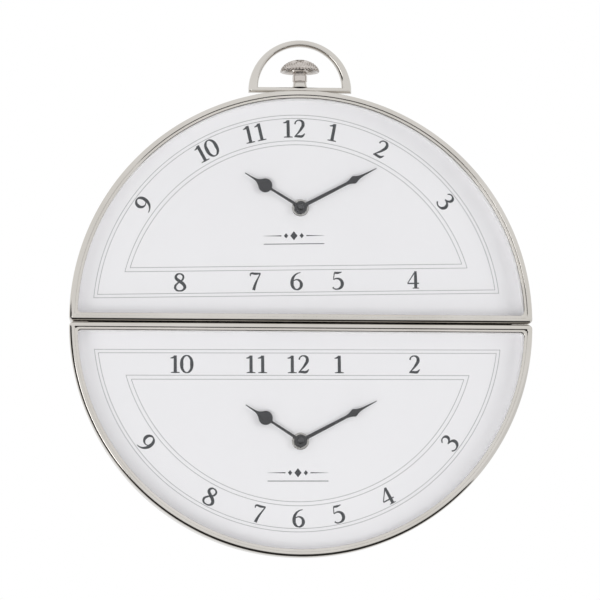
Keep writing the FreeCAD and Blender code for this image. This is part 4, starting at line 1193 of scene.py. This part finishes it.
def make_cap_nut(half):
    """The domed nut that holds the minute hand, with a rim and a groove under its dome."""
    node = f"{half}_hand_nut"
    low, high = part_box(node)
    radius, tall = (high.x - low.x) / 2, high.y - low.y
    profile = [(0.0, 0.0)]
    profile += [(radius * wide, tall * rise) for wide, rise in CAP_NUT_ROWS]
    base = Vector(((low.x + high.x) / 2, high.y, (low.z + high.z) / 2))
    piece = turned(f"{half}_cap_nut", base, -INTO_WALL, profile, TURNED_STEPS)
    dress(piece, f"{half}_minute", "dark_steel", stands_for=[node])


# Dial nuts, washers and screws


def make_dial_nut(half):
    """The hexagon nut on a dial, chamfered towards the front. Returns its middle."""
    low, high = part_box(f"{half}_dial_nut")
    middle = (low + high) / 2
    half_flats = (high.z - low.z) / 2
    clear()
    bpy.ops.mesh.primitive_cylinder_add(
        vertices=6,
        radius=half_flats / math.cos(math.pi / 6) - NUT_SHRINK,
        depth=high.y - low.y,
        location=middle,
        rotation=(math.pi / 2, 0, 0),
    )
    nut = bpy.context.object
    nut.name = f"{half}_nut_hexagon"
    bpy.ops.object.transform_apply(location=True, rotation=True, scale=True)
    bpy.ops.object.mode_set(mode="EDIT")
    pick_faces(nut, lambda face: face.normal.y < -FACING)
    bpy.ops.mesh.inset(thickness=NUT_CHAMFER)
    outer = half_flats - NUT_SHRINK
    face_middle = Vector((middle.x, low.y, middle.z))
    pick(
        nut,
        lambda vertex: vertex.co.y < middle.y and (vertex.co - face_middle).length > outer,
    )
    bpy.ops.transform.translate(value=(0, NUT_CHAMFER / 2, 0))
    bpy.ops.object.mode_set(mode="OBJECT")
    modify(nut, "BEVEL", width=NUT_EDGE, segments=3, limit_method="ANGLE")
    dress(nut, "clock", "dark_steel", stands_for=[f"{half}_dial_nut"], smooth=40)
    return middle


def make_washer(half, middle):
    """The bright washer under a dial's nut, on the nut's axis, with a round front edge."""
    node = f"{half}_dial_washer"
    low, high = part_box(node)
    radius, thick = (high.z - low.z) / 2, high.y - low.y
    profile = [(WASHER_BORE, 0.0), (radius, 0.0)]
    for sine, cosine in quarter(ROUND_STEPS):
        rim = radius - WASHER_ROUND * (1 - cosine)
        profile.append((rim, thick - WASHER_ROUND * (1 - sine)))
    profile.append((WASHER_BORE, thick))
    base = Vector((middle.x, high.y, middle.z))
    washer = turned(f"{half}_washer_ring", base, -INTO_WALL, profile, TURNED_STEPS)
    dress(washer, "clock", CHROME, stands_for=[node])


def make_screws(name, node):
    """Pan-head screws with a cross recess: one is modelled, the rest are copies."""
    spots = solids(node)
    low, high = spots[0]
    middle = (low + high) / 2
    radius = (high.x - low.x) / 2
    shank = radius * SHANK_SHARE
    reach = high.y - low.y
    head = min(reach, HEAD_HEIGHT)
    profile = [
        (radius * sine**HEAD_FULLNESS, reach - head * HEAD_DOME * (1 - cosine))
        for sine, cosine in quarter(HEAD_STEPS)
    ]
    profile += [(radius, reach - head), (shank, reach - head), (shank, 0.0), (0.0, 0.0)]
    base = Vector((middle.x, low.y, middle.z))
    first = turned(name, base, INTO_WALL, profile, TURNED_STEPS)
    clear()
    cutters = []
    for turn in (0.0, math.pi / 2):
        top = Vector((middle.x, high.y, middle.z))
        bpy.ops.mesh.primitive_cube_add(size=1.0, location=top, rotation=(0, turn, 0))
        cutter = bpy.context.object
        cutter.scale = (radius * RECESS_LENGTH_SHARE, head, radius * RECESS_WIDTH_SHARE)
        cutters.append(cutter)
        clear()
    for cutter in cutters:
        modify(first, "BOOLEAN", operation="DIFFERENCE", object=cutter, solver="EXACT")
    for cutter in cutters:
        bpy.data.objects.remove(cutter)
    copies = [first]
    for corner, _ in spots[1:]:
        copies.append(copy_to(first, corner - low))
    dress(join(copies, name), "clock", "zinc_steel", stands_for=[node], smooth=30)


# Camera, lights and floor


def look_at(obj, target):
    """Point a camera or lamp at a target."""
    obj.rotation_euler = (target - obj.location).to_track_quat("-Z", "Y").to_euler()


def add_camera():
    """The photographer's camera, with the field at the dials as wide as the picture."""
    clear()
    bpy.ops.object.camera_add(location=CAMERA_PLACE)
    camera = bpy.context.object
    look_at(camera, CAMERA_TARGET)
    camera.data.sensor_width = SENSOR
    camera.data.lens = SENSOR * (FRONT_POINT - CAMERA_PLACE).length / FIELD_WIDTH
    bpy.context.scene.camera = camera


def add_world():
    """White for what the camera, glass and metal see, and a softer white as light."""
    shader = Shader("studio_world", "World")
    light = shader.node("Background", {}, {"Color": WHITE, "Strength": WORLD_LIGHT})
    shown = shader.node("Background", {}, {"Color": WHITE, "Strength": 1.0})
    bpy.context.scene.world = shader.blend(shader.seen(), light, shown)


def add_light(name, place, side, power, mirrored=True):
    """A square lamp that looks at the clock. Metal shows it only where it is mirrored."""
    clear()
    bpy.ops.object.light_add(type="AREA", location=place)
    lamp = bpy.context.object
    lamp.name = name
    lamp.data.size = side
    lamp.data.energy = power
    lamp.visible_glossy = mirrored
    look_at(lamp, Vector((0, 0, 0)))


def add_floor():
    """A pale floor that the camera, metal and glass see nearly white."""
    clear()
    bpy.ops.mesh.primitive_plane_add(size=FLOOR_SIDE, location=(0, 0, FLOOR_HEIGHT))
    floor = bpy.context.object
    floor.name = "floor"
    shader = Shader("floor_pale")
    cloud = shader.noise(3.0, 2.0)
    colour = shader.tint(cloud, (0.88, 0.88, 0.88), (0.86, 0.86, 0.86))
    plain = shader.node("BsdfPrincipled", {}, {"Base Color": colour, "Roughness": 0.7})
    white = shader.node("Emission", {}, {"Color": WHITE, "Strength": 1.0})
    floor.data.materials.append(shader.blend(shader.seen() * FLOOR_WHITENESS, plain, white))


def add_card(name, place, size, turn):
    """A dark card out of the picture that only metal reflects."""
    clear()
    angles = [math.radians(angle) for angle in (*turn, 0.0)]
    bpy.ops.mesh.primitive_plane_add(size=1.0, location=place, rotation=angles)
    card = bpy.context.object
    card.name = name
    card.scale = (*size, 1.0)
    shader = Shader(f"{name}_dark")
    cloud = shader.noise(2.0, 2.0)
    colour = shader.tint(cloud, (0.010, 0.009, 0.007), (0.020, 0.018, 0.015))
    card.data.materials.append(shader.finish({"Base Color": colour, "Roughness": 0.9}))
    card.visible_camera = False
    card.visible_diffuse = False
    card.visible_shadow = False
    card.visible_transmission = False


# The clock and its surroundings


def dress_nodes():
    """Give every CAD node the finishes that its materials are named for."""
    for node in nodes.values():
        for place, material in enumerate(node.data.materials):
            node.data.materials[place] = FINISHES[material.name.split(".")[0]]


dress_nodes()
for half in HALVES:
    make_bezel(half)
    make_band(half)
    make_tracks(half)
    make_numerals(half)
    make_ornament(half)
    make_washer(half, make_dial_nut(half))
    make_hand(half, "hour")
    make_hand(half, "minute")
    make_cap_nut(half)
    make_screws(f"{half}_pan_screws", f"{half}_back_screws")
make_screws("hanger_pan_screws", "hanger_screws")
make_bow()
make_crown()

add_world()
add_light("left_light", *LEFT_LIGHT)
add_light("right_light", *RIGHT_LIGHT, mirrored=False)
add_light("front_light", *FRONT_LIGHT, mirrored=False)
add_light("back_light", *BACK_LIGHT, mirrored=False)
add_floor()
add_card("low_card", *LOW_CARD)
add_card("side_card", *SIDE_CARD)
add_camera()
bpy.context.scene.view_settings.view_transform = "Standard"
